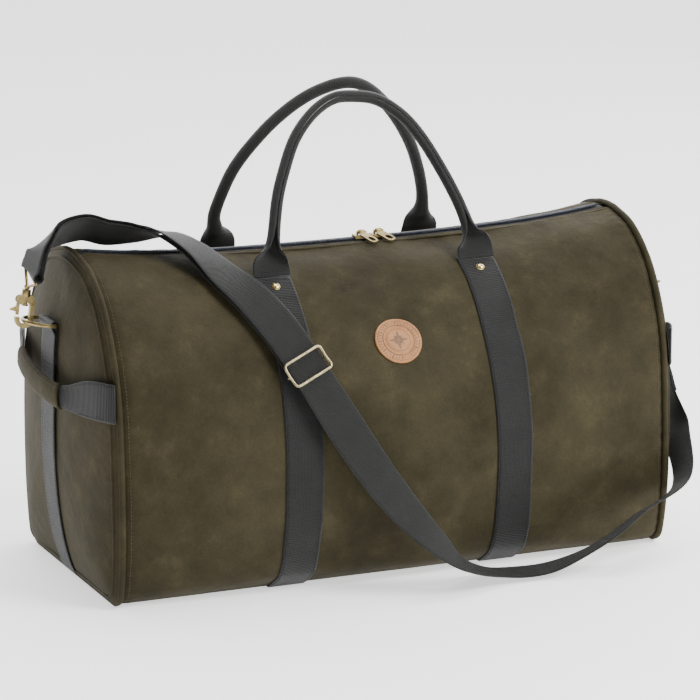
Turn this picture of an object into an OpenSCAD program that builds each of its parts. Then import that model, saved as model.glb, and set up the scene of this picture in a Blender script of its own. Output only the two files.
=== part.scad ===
// Canvas weekender bag: a stiff-bottomed duffel with webbing carry loops, rolled
// top handles, a two-slider zip, end grab handles and a clip-on shoulder strap.
// X runs along the bag (+X to the right end), -Y is the front, Z is up and the
// bag stands on Z = 0. The origin is the middle of the footprint.

/* [Bag body] */
// Length between the two end seams
bag_length = 600; // [560:5:640]
// Bulge of each end panel beyond its seam
end_bulge = 26; // [20:1:30]
// Thickness of the canvas panels
canvas_t = 1.6; // [1.2:0.1:1.8]
// Radius of the piping cord around each end
piping_r = 2.8; // [2.4:0.1:3.2]
// Thickness of the stiffening board in the base
board_t = 3; // [2:0.5:4]

/* [Webbing] */
// Width of all the webbing
web_w = 40; // [38:1:40]
// Thickness of the webbing
web_t = 1.6; // [1.2:0.1:1.8]
// Middle of the left carry loop under the base
left_loop_x = -117.5; // [-121:0.5:-114]
// Middle of the right carry loop under the base
right_loop_x = 117; // [114:0.5:120]

/* [Handles] */
// Outside diameter of the rolled handle tube
handle_d = 12.6; // [12:0.2:13]
// Diameter of the filler cord inside the handle tube
core_d = 8.4; // [7:0.2:8.6]

/* [Zip] */
// Place along X where the two sliders meet
zip_meet_x = 26; // [20:1:30]
// Height of the zip ridge where the sliders meet
ridge_low_z = 325; // [323:1:327]
// Height of the zip ridge at its two ends
ridge_end_z = 334.5; // [333:0.5:336]

/* [Metal fittings] */
// Wire radius of the D-rings
dring_wire_r = 2; // [1.8:0.1:2.1]
// Inside width of the D-rings, swivel eyes and strap adjuster
fitting_w = 42; // [41.4:0.2:43]
// Wire radius of the swivel eyes and the strap adjuster
wire_r = 1.5; // [1.3:0.1:1.6]
// Diameter of the rivet heads
rivet_d = 9; // [8:0.5:10]
// Diameter of the leather patch
patch_d = 51; // [46:1:54]

/* [Hidden] */

gap = 0.3;
half_len = bag_length / 2;
base_z = web_t + gap;
bag_h = 340;
base_half_w = 118;
zip_gap_half = 9;
arch_mid_z = 150;

// Side outline of the bag at an end seam and at the middle, [y, z] from the
// base edge up to the folded edge beside the zip. Both lists run together.
end_side = [[-base_half_w, 0], [-134, 12], [-142, 58], [-143, 108], [-141, 160], [-136, 212],
    [-122, 256], [-95, 300], [-58, 328], [-22, 338], [-zip_gap_half, 339.6]];
mid_side = [[-base_half_w, 0], [-148, 20], [-162, 62], [-165, 105], [-161, 158], [-147, 212],
    [-123, 252], [-95, 282], [-60, 307], [-22, 321.5], [-zip_gap_half, 324.6]];
// How far each outline point follows the straight zip ridge instead of the bulge
ridge_share = [0, 0, 0, 0, 0, 0, 0, 0, 0, 0.8, 1];
steps = 3;
side_last = (len(end_side) - 1) * steps;
handle_seam = 8 * steps;

function lerp(a, b, f) = a + (b - a) * f;
function unit(v) = v / norm(v);
function clamp01(f) = max(0, min(1, f));

// Catmull-Rom curve through a list of points, n steps a stretch
function spline_at(p, i, f) = let (
        a = p[max(i - 1, 0)], b = p[i], c = p[i + 1], d = p[min(i + 2, len(p) - 1)])
    0.5 * (2 * b + (c - a) * f + (2 * a - 5 * b + 4 * c - d) * f * f
        + (3 * b - a - 3 * c + d) * f * f * f);
function spline(p, n) = concat(
    [for (i = [0 : len(p) - 2]) for (k = [0 : n - 1]) spline_at(p, i, k / n)],
    [p[len(p) - 1]]);

// Height of the zip ridge: straight from the meeting point to each end
function ridge_z(x) = let (
        run = x < zip_meet_x ? zip_meet_x + half_len - 10 : half_len - 10 - zip_meet_x,
        f = abs(x - zip_meet_x) / run)
    f <= 1 ? lerp(ridge_low_z, ridge_end_z, f)
        : lerp(ridge_end_z, bag_h, clamp01((abs(x) - half_len + 10) / 10));
function bulge_share(x) = 1 - pow(min(1, abs(x) / half_len), 3);
function ridge_sag(x) = (bag_h - ridge_z(x)) / (bag_h - ridge_low_z);
function lift(z) = base_z + z * (bag_h - base_z) / bag_h;
function side_points(x) = [for (i = [0 : len(end_side) - 1]) let (
        b = bulge_share(x), s = lerp(b, ridge_sag(x), ridge_share[i]))
    [lerp(end_side[i][0], mid_side[i][0], b), lift(lerp(end_side[i][1], mid_side[i][1], s))]];
function side_line(x) = spline(side_points(x), steps);
function side_normal(line, k) = let (
        t = line[min(k + 1, len(line) - 1)] - line[max(k - 1, 0)])
    k == 0 ? [0, -1] : unit([-t[1], t[0]]);
// Point at outline step k, moved out of the bag by out and up the outline by shift
function side_at(x, k, out, shift = 0) = let (line = side_line(x), n = side_normal(line, k),
        p = line[k] + n * out + [n[1], -n[0]] * shift)
    [x, p[0], p[1]];

// Bulged end panel: rings of the end outline drawn in towards its middle
end_line = spline([for (p = end_side) [p[0], lift(p[1])]], steps);
end_loop = concat(
    [[0, base_z], [-54, base_z]],
    end_line,
    [[0, bag_h]],
    [for (k = [len(end_line) - 1 : -1 : 0]) [-end_line[k][0], end_line[k][1]]],
    [[54, base_z]]);
function dome_x(ring) = half_len + end_bulge * pow(max(0, 1 - ring * ring), 0.6);
function dome_x_at_z(z) = dome_x(z > arch_mid_z ? (z - arch_mid_z) / (bag_h - arch_mid_z)
    : (arch_mid_z - z) / (arch_mid_z - base_z));

// ---------------------------------------------------------------- mesh helpers

// End cap of an even ring: rungs between its two long sides, which may be curved
function cap_faces(s, n, first) = [for (j = [0 : n / 2 - 2])
    let (rung = [s + j, s + j + 1, s + n - 2 - j, s + n - 1 - j])
    first ? [rung[3], rung[2], rung[1], rung[0]] : rung];

// Quads of a closed grid: rows of equal length, each row a closed ring
function tube_faces(rows, n, capped = true) = concat(
    [for (r = [0 : rows - 2]) for (k = [0 : n - 1]) let (a = r * n + k, b = r * n + (k + 1) % n)
        each [[a, b, b + n], [a, b + n, a + n]]],
    capped ? concat(cap_faces(0, n, true), cap_faces((rows - 1) * n, n, false)) : [],
    capped ? [] : [for (k = [0 : n - 1]) let (a = (rows - 1) * n + k, b = (rows - 1) * n + (k + 1) % n)
        each [[a, b, (k + 1) % n], [a, (k + 1) % n, k]]]);

// A layer of the bag's side between outline steps k0 and k1, from out0 to out1,
// drawn back by trim at those two edges and moved by lean along X at the seam
module side_skin(xs, k0, k1, out0, out1, trim = 0, lean = 0) {
    function at(x, k, out) = side_at(x + lean * k / handle_seam, k, out,
        k == k0 ? trim : k == k1 ? -trim : 0);
    rows = [for (x = xs) concat(
        [for (k = [k0 : k1]) at(x, k, out1)],
        [for (k = [k1 : -1 : k0]) at(x, k, out0)])];
    polyhedron([for (r = rows) each r], tube_faces(len(xs), 2 * (k1 - k0 + 1)), convexity = 8);
}

// Rod swept along a path, with one section [width, thickness] per point.
// flat_n is the direction across the thickness.
function frame_t(path, i) = unit(path[min(i + 1, len(path) - 1)] - path[max(i - 1, 0)]);
module swept_rod(path, r, flat_n, sides = 10, squash = 1) {
    rows = [for (i = [0 : len(path) - 1]) let (
            t = frame_t(path, i), b = unit(cross(t, flat_n)), n = cross(b, t))
        [for (k = [0 : sides - 1]) path[i] + b * (r * cos(360 * k / sides))
            + n * (r * squash * sin(360 * k / sides))]];
    polyhedron([for (row = rows) each row], tube_faces(len(path), sides), convexity = 6);
}

// Strip of webbing along a path of [centre, direction across the width]. Its two
// sides are split along the same diagonals, so that they stay apart in a twist.
function strip_row(c, w, t, wide, thick, out) = let (a = unit(w - t * (w * t)), n = cross(t, a))
    [c - a * wide / 2 + n * (out + thick), c + a * wide / 2 + n * (out + thick),
        c + a * wide / 2 + n * out, c - a * wide / 2 + n * out];
module strip(centres, across, wide, thick, out) {
    rows = [for (i = [0 : len(centres) - 1])
        strip_row(centres[i], across[i], frame_t(centres, i), wide, thick, out)];
    last = 4 * (len(rows) - 1);
    faces = [for (r = [0 : len(rows) - 2]) for (k = [0 : 3]) let (a = r * 4 + k, b = r * 4 + (k + 1) % 4)
        each k == 2 ? [[a, b, a + 4], [b, b + 4, a + 4]] : [[a, b, b + 4], [a, b + 4, a + 4]]];
    polyhedron([for (row = rows) each row],
        concat(faces, [[3, 2, 1, 0], [last, last + 1, last + 2, last + 3]]), convexity = 8);
}

// ---------------------------------------------------------------- bag body

left_loop = [left_loop_x - web_w / 2, left_loop_x + web_w / 2];
right_loop = [right_loop_x - web_w / 2, right_loop_x + web_w / 2];
seam_in = 2 * piping_r + gap;
panel_end = half_len - seam_in + 2;
panel_xs = [-panel_end, -half_len + 12, -260, -230, -190, -150, -130, -110, -90, -60, -20,
    zip_meet_x, 60, 97, 117, 140, 180, 225, 260, half_len - 12, panel_end];
// The panels are cut into tiles: long ones below the shoulder, short ones above it
tile_gap = 0.02;
low_cuts = [-panel_end, zip_meet_x, panel_end];
high_cuts = [-panel_end, -230, -150, -60, zip_meet_x, 140, 225, panel_end];
waist = 6;
belly = 14;
shoulder = 22;
lining_xs = [-half_len + 8, -240, -140, -40, zip_meet_x, 140, 240, half_len - 8];

module panel_tiles(cuts, k0, k1) {
    for (i = [0 : len(cuts) - 2])
        side_skin(concat([cuts[i] + tile_gap],
            [for (x = panel_xs) if (x > cuts[i] && x < cuts[i + 1]) x],
            [cuts[i + 1] - tile_gap]), k0, k1, -canvas_t, 0, tile_gap);
}
module front_panel() {
    color("DarkOliveGreen") {
        panel_tiles(low_cuts, 0, waist);
        panel_tiles(low_cuts, waist, belly);
        panel_tiles(high_cuts, belly, shoulder);
        panel_tiles(high_cuts, shoulder, side_last);
    }
}
module back_panel() { mirror([0, 1, 0]) front_panel(); }

// Base panel, padded out between the carry loops so that it rests on Z = 0
module base_panel() {
    color("DarkOliveGreen") difference() {
        translate([-panel_end, -base_half_w + gap, 0])
            cube([2 * panel_end, 2 * (base_half_w - gap), base_z + canvas_t]);
        for (xs = [left_loop, right_loop]) translate([xs[0] - gap, -base_half_w, -1])
            cube([web_w + 2 * gap, 2 * base_half_w, base_z + 1]);
    }
}

module end_panel() {
    rings = [0.972, 0.9, 0.78, 0.6, 0.35, 0.02];
    n = len(end_loop);
    function ring_at(s, back) = [for (p = end_loop)
        [dome_x(s) - (back ? canvas_t : 0), p[0] * s, lerp(arch_mid_z, p[1], s)]];
    rows = concat([for (s = rings) ring_at(s, false)],
        [for (i = [len(rings) - 1 : -1 : 0]) ring_at(rings[i], true)]);
    color("DarkOliveGreen") polyhedron([for (row = rows) each row],
        tube_faces(len(rows), n, false), convexity = 6);
}
module right_end_panel() { end_panel(); }
module left_end_panel() { mirror([1, 0, 0]) end_panel(); }

module piping() {
    n = len(end_loop);
    sides = 8;
    middle = [0, arch_mid_z];
    rows = [for (i = [0 : n - 1]) let (
            t = unit(end_loop[(i + 1) % n] - end_loop[(i + n - 1) % n]),
            inward = unit([t[1], -t[0]]),
            c = end_loop[i] + inward * piping_r)
        [for (k = [0 : sides - 1]) let (a = 360 * (k + 0.5) / sides, o = inward * piping_r * cos(a))
            [half_len - 1 + piping_r * sin(a), c[0] + o[0], c[1] + o[1]]]];
    color("DarkOliveGreen") polyhedron([for (row = rows) each row],
        tube_faces(n, sides, false), convexity = 6);
}
module right_piping() { piping(); }
module left_piping() { mirror([1, 0, 0]) piping(); }

lining_t = 0.8;
lining_in = canvas_t + 3.2;
module lining() {
    color("DimGray") {
        side_skin(lining_xs, 1, side_last - 4, -lining_in - lining_t, -lining_in);
        mirror([0, 1, 0]) side_skin(lining_xs, 1, side_last - 4, -lining_in - lining_t, -lining_in);
        translate([-half_len + 8, -base_half_w + 6, base_z + canvas_t + board_t + 2 * gap])
            cube([bag_length - 16, 2 * base_half_w - 12, lining_t]);
    }
}
module lining_end() {
    inner = [for (p = end_loop) [p[0] * 0.93, lerp(arch_mid_z, p[1], 0.93)]];
    color("DimGray") translate([half_len - 6, 0, 0]) rotate([90, 0, 90])
        linear_extrude(lining_t) polygon(inner);
}
module right_lining_end() { lining_end(); }
module left_lining_end() { mirror([1, 0, 0]) lining_end(); }

module base_board() {
    color("Gray") translate([-half_len + 12, -base_half_w + 4, base_z + canvas_t + gap])
        cube([bag_length - 24, 2 * base_half_w - 8, board_t]);
}

// ---------------------------------------------------------------- zip

coil_r = 1.6;
coil_gap_half = 0.6;
coil_split = 0.4;
tape_t = 0.6;
tape_out = -canvas_t - gap - tape_t;
rail_lift = 0.4;

// Runs its children along one half of the zip ridge; s is -1 for the left half
function zip_slope(s) = atan2(ridge_end_z - ridge_low_z, s < 0 ? zip_meet_x + half_len - 10
    : half_len - 10 - zip_meet_x);
module on_ridge(s) {
    translate([zip_meet_x, 0, lift(ridge_low_z)]) rotate([0, s < 0 ? zip_slope(-1) : -zip_slope(1), 0])
        children();
}

module front_zip_tape() {
    color("SlateGray") side_skin(panel_xs, side_last - 3, side_last, tape_out, tape_out + tape_t);
}
module back_zip_tape() { mirror([0, 1, 0]) front_zip_tape(); }

// One half of the interlocked coil, as the plain rail that the sliders run on
module coil_half(s, run) {
    on_ridge(s) translate([s * coil_split, -coil_gap_half - coil_r, 0]) rotate([0, s * 90, 0])
        cylinder(r = coil_r, h = run, $fn = 24);
}
module front_zip_coil() {
    color("MidnightBlue") translate([0, 0, rail_lift]) {
        coil_half(-1, zip_meet_x + half_len - 14);
        coil_half(1, half_len - 14 - zip_meet_x);
    }
}
module back_zip_coil() { mirror([0, 1, 0]) front_zip_coil(); }

slider_len = 17;
slider_w = 11;
plate_t = 1.2;
puller_lug_z = 6.2;
slider_start = 1.2;
module zip_stops() {
    color("DarkGoldenrod") for (s = [-1, 1]) on_ridge(s)
        translate([s * (s < 0 ? zip_meet_x + half_len - 19 : half_len - 19 - zip_meet_x), 0,
            rail_lift + coil_r + 0.5]) cube([4, 6.4, 0.8], center = true);
}

// Slider: cover plate over the coil, neck between the rails, lower wings and lug
module zip_slider(s) {
    mid = s * (slider_start + slider_len / 2);
    color("DarkGoldenrod") on_ridge(s) translate([mid, 0, rail_lift]) {
        translate([0, 0, coil_r + 0.5 + plate_t / 2]) cube([slider_len, slider_w, plate_t], center = true);
        for (side = [-1, 1]) translate([0, side * (slider_w / 2 - 0.6), 1.0])
            cube([slider_len, 1.2, 2.4], center = true);
        translate([-s * (slider_len / 2 - 1.5), 0, 0.6]) cube([3, 0.6, 4], center = true);
        for (end = [-1, 1]) translate([end * 4.6, 0, (coil_r + 1.6 + puller_lug_z) / 2])
            cube([1.6, 2, puller_lug_z - coil_r - 1.2], center = true);
        translate([0, 0, puller_lug_z]) rotate([0, 90, 0]) cylinder(r = 1, h = 10.8, center = true, $fn = 24);
    }
}
module left_zip_slider() { zip_slider(-1); }
module right_zip_slider() { zip_slider(1); }

puller_rest = 17;
puller_lean = 22;
// Pull tab: an eye around the slider's lug and a leaning blade with a slot
module zip_puller(s) {
    mid = s * (slider_start + slider_len / 2);
    color("DarkGoldenrod") on_ridge(s) translate([mid, 0, rail_lift + puller_lug_z])
        rotate([puller_rest, 0, 0]) {
            difference() {
                rotate([0, 90, 0]) cylinder(r = 2.3, h = 6.4, center = true, $fn = 32);
                rotate([0, 90, 0]) cylinder(r = 1.35, h = 8, center = true, $fn = 32);
            }
            difference() {
                union() {
                    translate([-3.2, -7, -0.9]) cube([6.4, 5.2, 1.8]);
                    translate([0, -5.5, -0.9]) rotate([0, 0, puller_lean]) {
                        translate([-5, -15, 0]) cube([10, 15, 1.8]);
                        translate([0, -15, 0]) cylinder(r = 5, h = 1.8, $fn = 32);
                    }
                }
                translate([0, -5.5, 0]) rotate([0, 0, puller_lean]) {
                    translate([-2.5, -15, -2]) cube([5, 4, 4]);
                    for (y = [-15, -11]) translate([0, y, -2]) cylinder(r = 2.5, h = 4, $fn = 32);
                }
            }
        }
}
module left_zip_puller() { zip_puller(-1); }
module right_zip_puller() { zip_puller(1); }

// ---------------------------------------------------------------- carry loops

// Middle of the webbing at the two handle seams: front, then back
left_seam_x = [-108.5, -120];
right_seam_x = [117.5, 109];

// Webbing from the front handle seam down, under the base and up the back, in
// lengths that each follow a stretch of the outline
module carry_loop(low_x, seam_x) {
    xs = [low_x - web_w / 2, low_x, low_x + web_w / 2];
    ends = [0, waist, belly, handle_seam];
    color("DimGray") {
        for (side = [0, 1]) mirror([0, side, 0]) for (i = [0 : len(ends) - 2])
            side_skin(xs, ends[i], ends[i + 1], gap, gap + web_t, tile_gap, seam_x[side] - low_x);
        translate([xs[0], -base_half_w, 0]) cube([web_w, 2 * base_half_w, web_t]);
    }
}
module left_carry_loop() { carry_loop(left_loop_x, left_seam_x); }
module right_carry_loop() { carry_loop(right_loop_x, right_seam_x); }

rivet_k = handle_seam - 1;
module handle_rivets() {
    color("Goldenrod") for (seam_x = [left_seam_x, right_seam_x])
        for (side = [0, 1]) mirror([0, side, 0]) {
            n = side_normal(side_line(seam_x[side]), rivet_k);
            translate(side_at(seam_x[side], rivet_k, gap + web_t))
                rotate([90 + atan2(-n[1], -n[0]), 0, 0]) rivet();
        }
}
// Domed head, shank and inner burr; Z points out of the bag
module rivet() {
    head_h = 2;
    dome_r = (rivet_d * rivet_d / 4 + head_h * head_h) / (2 * head_h);
    intersection() {
        translate([0, 0, head_h - dome_r]) sphere(r = dome_r, $fn = 64);
        cylinder(r = rivet_d / 2, h = head_h + 1, $fn = 48);
    }
    translate([0, 0, -6.2]) cylinder(r = 1.4, h = 6.4, $fn = 24);
    translate([0, 0, -7.2]) cylinder(r = 3.6, h = 1.2, $fn = 32);
}

patch_x = 3;
patch_k = 17;
module leather_patch() {
    n = side_normal(side_line(patch_x), patch_k);
    centre = lerp(side_at(patch_x, patch_k, gap), side_at(patch_x, patch_k + 1, gap), 0.5);
    color("Peru") translate(centre) rotate([90 + atan2(-n[1], -n[0]), 0, 0])
        cylinder(r = patch_d / 2, h = 2, $fn = 64);
}

// ---------------------------------------------------------------- top handles

front_path = [[left_seam_x[0], -61, 312], [left_seam_x[0], -59, 319], [-107, -57, 327],
    [-105.5, -56, 336], [-103, -55, 350], [-95, -45, 384], [-84, -37, 412], [-69, -28, 441],
    [-47, -21, 464], [-23, -17, 477], [-1, -17, 478], [26, -18, 473], [52, -24, 455],
    [71, -31, 431], [89, -41, 398], [102, -50, 369], [109, -54, 350], [113, -56, 336],
    [116, -57, 327], [right_seam_x[0], -59, 319], [right_seam_x[0], -61, 312]];
back_path = [[left_seam_x[1], 61, 312], [left_seam_x[1], 59, 319], [-121.5, 57, 327],
    [-123.5, 56, 336], [-125, 55, 350], [-120, 50, 370], [-109, 41, 400], [-90, 32, 428],
    [-66, 24, 454], [-35, 17, 476], [2, 14, 487], [31, 17, 479], [63, 26, 449],
    [87, 36, 414], [100, 45, 385], [106, 50, 366], [109, 53, 350], [109.5, 56, 336],
    [109, 57, 327], [right_seam_x[1], 59, 319], [right_seam_x[1], 61, 312]];
// Curl of the webbing along a handle in degrees: flat at the seams, a tube between
curl_start = [4, 50, 140, 270];
full_curl = 345;
function curl_at(i, n) = let (j = min(i, n - 1 - i)) j < len(curl_start) ? curl_start[j] : full_curl;
function width_at(i, n) = let (j = min(i, n - 1 - i), tube = (handle_d - web_t) / 2 * full_curl * PI / 180)
    lerp(web_w, tube, clamp01(j / 4));

module rolled_webbing(path, out_y) {
    n = len(path);
    segs = 12;
    rows = [for (i = [0 : n - 1]) let (
            t = frame_t(path, i), lean = unit([0, path[10][1] - path[3][1], path[10][2] - path[3][2]]),
            outw = unit(cross(lean, [out_y, 0, 0])), b = unit(cross(t, outw)), o = cross(b, t),
            curl = curl_at(i, n), wide = width_at(i, n), r = wide / (curl * PI / 180),
            tube_r = (handle_d - web_t) / 2, centre = path[i] + o * (tube_r * min(1, curl / 180)))
        concat(
            [for (k = [segs : -1 : 0]) let (a = (k / segs - 0.5) * curl, rr = r + web_t / 2)
                centre + b * (rr * sin(a)) + o * (rr * cos(a) - r)],
            [for (k = [0 : segs]) let (a = (k / segs - 0.5) * curl, rr = r - web_t / 2)
                centre + b * (rr * sin(a)) + o * (rr * cos(a) - r)])];
    polyhedron([for (row = rows) each row], tube_faces(n, 2 * (segs + 1)), convexity = 10);
}
module front_handle() { color("DimGray") rolled_webbing(front_path, 1); }
module back_handle() { color("DimGray") rolled_webbing(back_path, -1); }
module handle_core(path) {
    inner = [for (i = [5 : len(path) - 6]) path[i]];
    lean = unit([0, path[10][1] - path[3][1], path[10][2] - path[3][2]]);
    color("Gainsboro") swept_rod(inner, core_d / 2, cross(lean, [1, 0, 0]), 10);
}
module front_handle_core() { handle_core(front_path); }
module back_handle_core() { handle_core(back_path); }

// ---------------------------------------------------------------- end webbing and D-rings

dring_z = 268;
dring_x = 325.4;
dring_leg = 4.5;
dring_r = fitting_w / 2 + 1;
dring_depth = dring_leg + dring_r;
left_dring_angle = 9;
right_dring_angle = -31;

// Vertical webbing on an end panel, folded round the bar of the D-ring
module end_webbing() {
    zs = [8, 14, 30, 55, 85, 120, 155, 190, 220, 245, dring_z - 2.8];
    fold_in = dring_wire_r + gap;
    color("DimGray") flat_xz(web_w) {
        polygon(concat(
            [for (z = zs) [dome_x_at_z(z) + 0.5 + web_t, z]],
            [for (i = [len(zs) - 1 : -1 : 0]) [dome_x_at_z(zs[i]) + 0.5, zs[i]]]));
        translate([dring_x, dring_z]) difference() {
            circle(r = fold_in + web_t, $fn = 32);
            circle(r = fold_in, $fn = 32);
        }
    }
}
module right_end_webbing() { end_webbing(); }
module left_end_webbing() { mirror([1, 0, 0]) end_webbing(); }

// D-ring: bar in the fold, two short legs and a half-round bow
module dring(angle) {
    color("DarkGoldenrod") translate([dring_x, 0, dring_z]) rotate([0, -angle, 0]) {
        rotate([90, 0, 0]) cylinder(r = dring_wire_r, h = 2 * dring_r, center = true, $fn = 32);
        for (side = [-1, 1]) translate([0, side * dring_r, 0]) {
            sphere(r = dring_wire_r, $fn = 32);
            rotate([0, 90, 0]) cylinder(r = dring_wire_r, h = dring_leg, $fn = 32);
        }
        translate([dring_leg, 0, 0]) rotate([0, 0, -90]) rotate_extrude(angle = 180, $fn = 64)
            translate([dring_r, 0]) circle(r = dring_wire_r, $fn = 32);
    }
}
module right_dring() { dring(right_dring_angle); }
module left_dring() { mirror([1, 0, 0]) dring(left_dring_angle); }

// ---------------------------------------------------------------- end grab handles

// Centre line of the grab handle's sewn ends, each from the end seam inwards, and
// of its free part from front to back, with the height of the webbing at each point
front_tail = [[308.6, -132, 213], [312.4, -124, 213], [315.6, -116, 212.5], [320.5, -100, 211],
    [325, -85, 208.5], [329, -73, 206.5]];
back_tail = [[308.6, 132, 213], [312.4, 124, 214], [315.6, 116, 215.5], [320.5, 100, 218],
    [325, 85, 219], [329, 73, 219]];
tail_height = [40, 40, 40, 38, 32, 27];
grab_path = [[330.8, -69, 206], [335, -50, 206], [338, -28, 208], [339, 0, 211],
    [338, 28, 215], [335, 50, 218], [330.8, 69, 219]];
grab_height = [25, 20, 18, 18, 18, 20, 25];
grab_t = 2.2;
module upright_strip(path, heights) {
    up = [0, 0, 1];
    rows = [for (i = [0 : len(path) - 1]) let (o = unit(cross(frame_t(path, i), up)) * grab_t / 2,
            h = up * heights[i] / 2)
        [path[i] + o + h, path[i] - o + h, path[i] - o - h, path[i] + o - h]];
    polyhedron([for (row = rows) each row], tube_faces(len(path), 4), convexity = 6);
}
module grab_handle() { color("DimGray") upright_strip(grab_path, grab_height); }
module right_grab_handle() { grab_handle(); }
module left_grab_handle() { mirror([1, 0, 0]) grab_handle(); }

// Sewn ends of the grab handle, running from the end seam to the free part
module grab_tails() {
    color("DimGray") {
        upright_strip(front_tail, tail_height);
        upright_strip([for (i = [len(back_tail) - 1 : -1 : 0]) back_tail[i]],
            [for (i = [len(tail_height) - 1 : -1 : 0]) tail_height[i]]);
    }
}
module right_grab_tails() { grab_tails(); }
module left_grab_tails() { mirror([1, 0, 0]) grab_tails(); }

// Canvas sleeve around the middle of the grab handle, open at both ends
wrap_half_t = 5.2;
wrap_half_h = 11.4;
module grab_wrap() {
    inner = [for (i = [1 : len(grab_path) - 2]) grab_path[i]];
    last = len(inner) - 1;
    up = [0, 0, 1];
    rows = [for (i = [0 : last]) let (o = unit(cross(frame_t(inner, i), up)))
        [for (a = [0 : 30 : 330]) inner[i] + o * (wrap_half_t * cos(a)) + up * (wrap_half_h * sin(a))]];
    hollow = [for (i = [0 : last]) let (t = frame_t(inner, i), o = unit(cross(t, up)) * 1.6,
            p = inner[i] + t * (i == 0 ? -2 : i == last ? 2 : 0), h = up * 10.2)
        [p + o + h, p - o + h, p - o - h, p + o - h]];
    color("DarkOliveGreen") difference() {
        polyhedron([for (row = rows) each row], tube_faces(last + 1, len(rows[0])), convexity = 6);
        polyhedron([for (row = hollow) each row], tube_faces(last + 1, 4), convexity = 6);
    }
}
module right_grab_wrap() { grab_wrap(); }
module left_grab_wrap() { mirror([1, 0, 0]) grab_wrap(); }

// ---------------------------------------------------------------- shoulder strap

// Strap centre line from the left swivel eye to the right one: centre, then the
// direction across the width
strap_route = [
    [[-343, -6, 331], [0, 94, 34]], [[-336, -5, 347], [-7, 97, -20]],
    [[-314, 8, 356], [14, 75, -65]], [[-283, 13, 360], [20, 66, -72]],
    [[-257, 12, 353], [18, 66, -70]], [[-231, 8, 351], [28, 74, -56]],
    [[-212, -2, 352], [42, 82, -34]], [[-196, -16, 349], [50, 86, -6]],
    [[-179, -40, 337], [60, 78, 10]], [[-163, -67, 318], [76, 58, 28]],
    [[-146, -94, 300], [84, 36, 40]], [[-128, -119, 275], [88, 20, 43]],
    [[-113, -140, 248], [88, 20, 43]], [[-98, -156, 219], [88, 20, 43]],
    [[-81, -168, 187], [88, 8, 46]], [[-61, -177, 152], [88, 8, 45]],
    [[-38, -188, 115], [88, 22, 38]], [[-13, -199, 81], [82, 42, 32]],
    [[12, -207, 54], [74, 60, 5]], [[42, -204, 29], [58, 78, -18]],
    [[78, -190, 11], [35, 92, -14]], [[110, -186, 5], [30, 95, -3]],
    [[146, -189, 7], [27, 96, -4]], [[184, -194, 20], [27, 94, -18]],
    [[214, -199, 37], [18, 94, -28]], [[249, -187, 52], [5, 90, -42]],
    [[309, -163, 73], [8, 92, -36]], [[335, -102, 110], [5, 97, 15]],
    [[344, -56, 145], [8, 98, 10]], [[350, -20, 172], [4, 99, 4]],
    [[352, -4, 188], [0, 100, 0]], [[352, 0, 201], [0, 100, 0]]];
adjuster_at = 12.5;
strap_steps = 4;
strap_c = spline([for (s = strap_route) s[0]], strap_steps);
strap_w = spline([for (s = strap_route) s[1]], strap_steps);
return_gap = 4.2;
module shoulder_strap() { color("DimGray") strip(strap_c, strap_w, web_w, web_t, 0); }
module strap_return() {
    n = strap_steps * adjuster_at;
    color("DimGray") strip([for (i = [0 : n]) strap_c[i]], [for (i = [0 : n]) strap_w[i]],
        web_w, web_t, -return_gap - web_t);
}

// Adjuster: an outer frame in front of the strap and a centre bar behind it
module strap_adjuster() {
    i = strap_steps * adjuster_at;
    t = frame_t(strap_c, i);
    a = unit(strap_w[i] - t * (strap_w[i] * t));
    n = cross(t, a);
    c = strap_c[i];
    bar_half = fitting_w / 2 + wire_r;
    reach = 12.5;
    over = web_t + gap + wire_r + 0.6;
    under = -gap - wire_r - 0.5;
    module wire(p, q) {
        d = q - p;
        translate(p) rotate([0, acos(d[2] / norm(d)), atan2(d[1], d[0])]) {
            cylinder(r = wire_r, h = norm(d), $fn = 24);
            sphere(r = wire_r + 0.15, $fn = 24);
        }
    }
    top_l = c + a * bar_half + t * reach + n * over;
    top_r = c - a * bar_half + t * reach + n * over;
    low_l = c + a * bar_half - t * reach + n * over;
    low_r = c - a * bar_half - t * reach + n * over;
    mid_l = c + a * bar_half + n * under;
    mid_r = c - a * bar_half + n * under;
    color("Goldenrod") {
        wire(top_l, top_r);
        wire(top_r, mid_r);
        wire(mid_r, low_r);
        wire(low_r, low_l);
        wire(low_l, mid_l);
        wire(mid_l, top_l);
        wire(mid_l, mid_r);
    }
}

// ---------------------------------------------------------------- snap hooks

// Hook frame: origin at the wire of the D-ring, Z along the hook to its eye
left_hook_at = [-(dring_x + dring_depth * cos(left_dring_angle)), 0,
    dring_z + dring_depth * sin(left_dring_angle)];
right_hook_at = [dring_x + dring_depth * cos(right_dring_angle), 0,
    dring_z + dring_depth * sin(right_dring_angle)];
left_hook_tilt = 7.5;
right_hook_tilt = 175;
right_jaw_play = 4;
hook_t = 5;
jaw_r = 5;
jaw_low = dring_wire_r + 1.3;
rim_r = 9.5;
pin_r = 2;
pin_clear = 0.08;
barrel_top = 33;
pivot = [-6.2, 21.5];
module at_left_hook() { translate(left_hook_at) rotate([0, left_hook_tilt, 0]) children(); }
module at_right_hook() {
    translate(right_hook_at) rotate([0, right_hook_tilt, 0]) translate([0, 0, -right_jaw_play]) children();
}
module flat_xz(t) { translate([0, t / 2, 0]) rotate([90, 0, 0]) linear_extrude(t) children(); }

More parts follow.
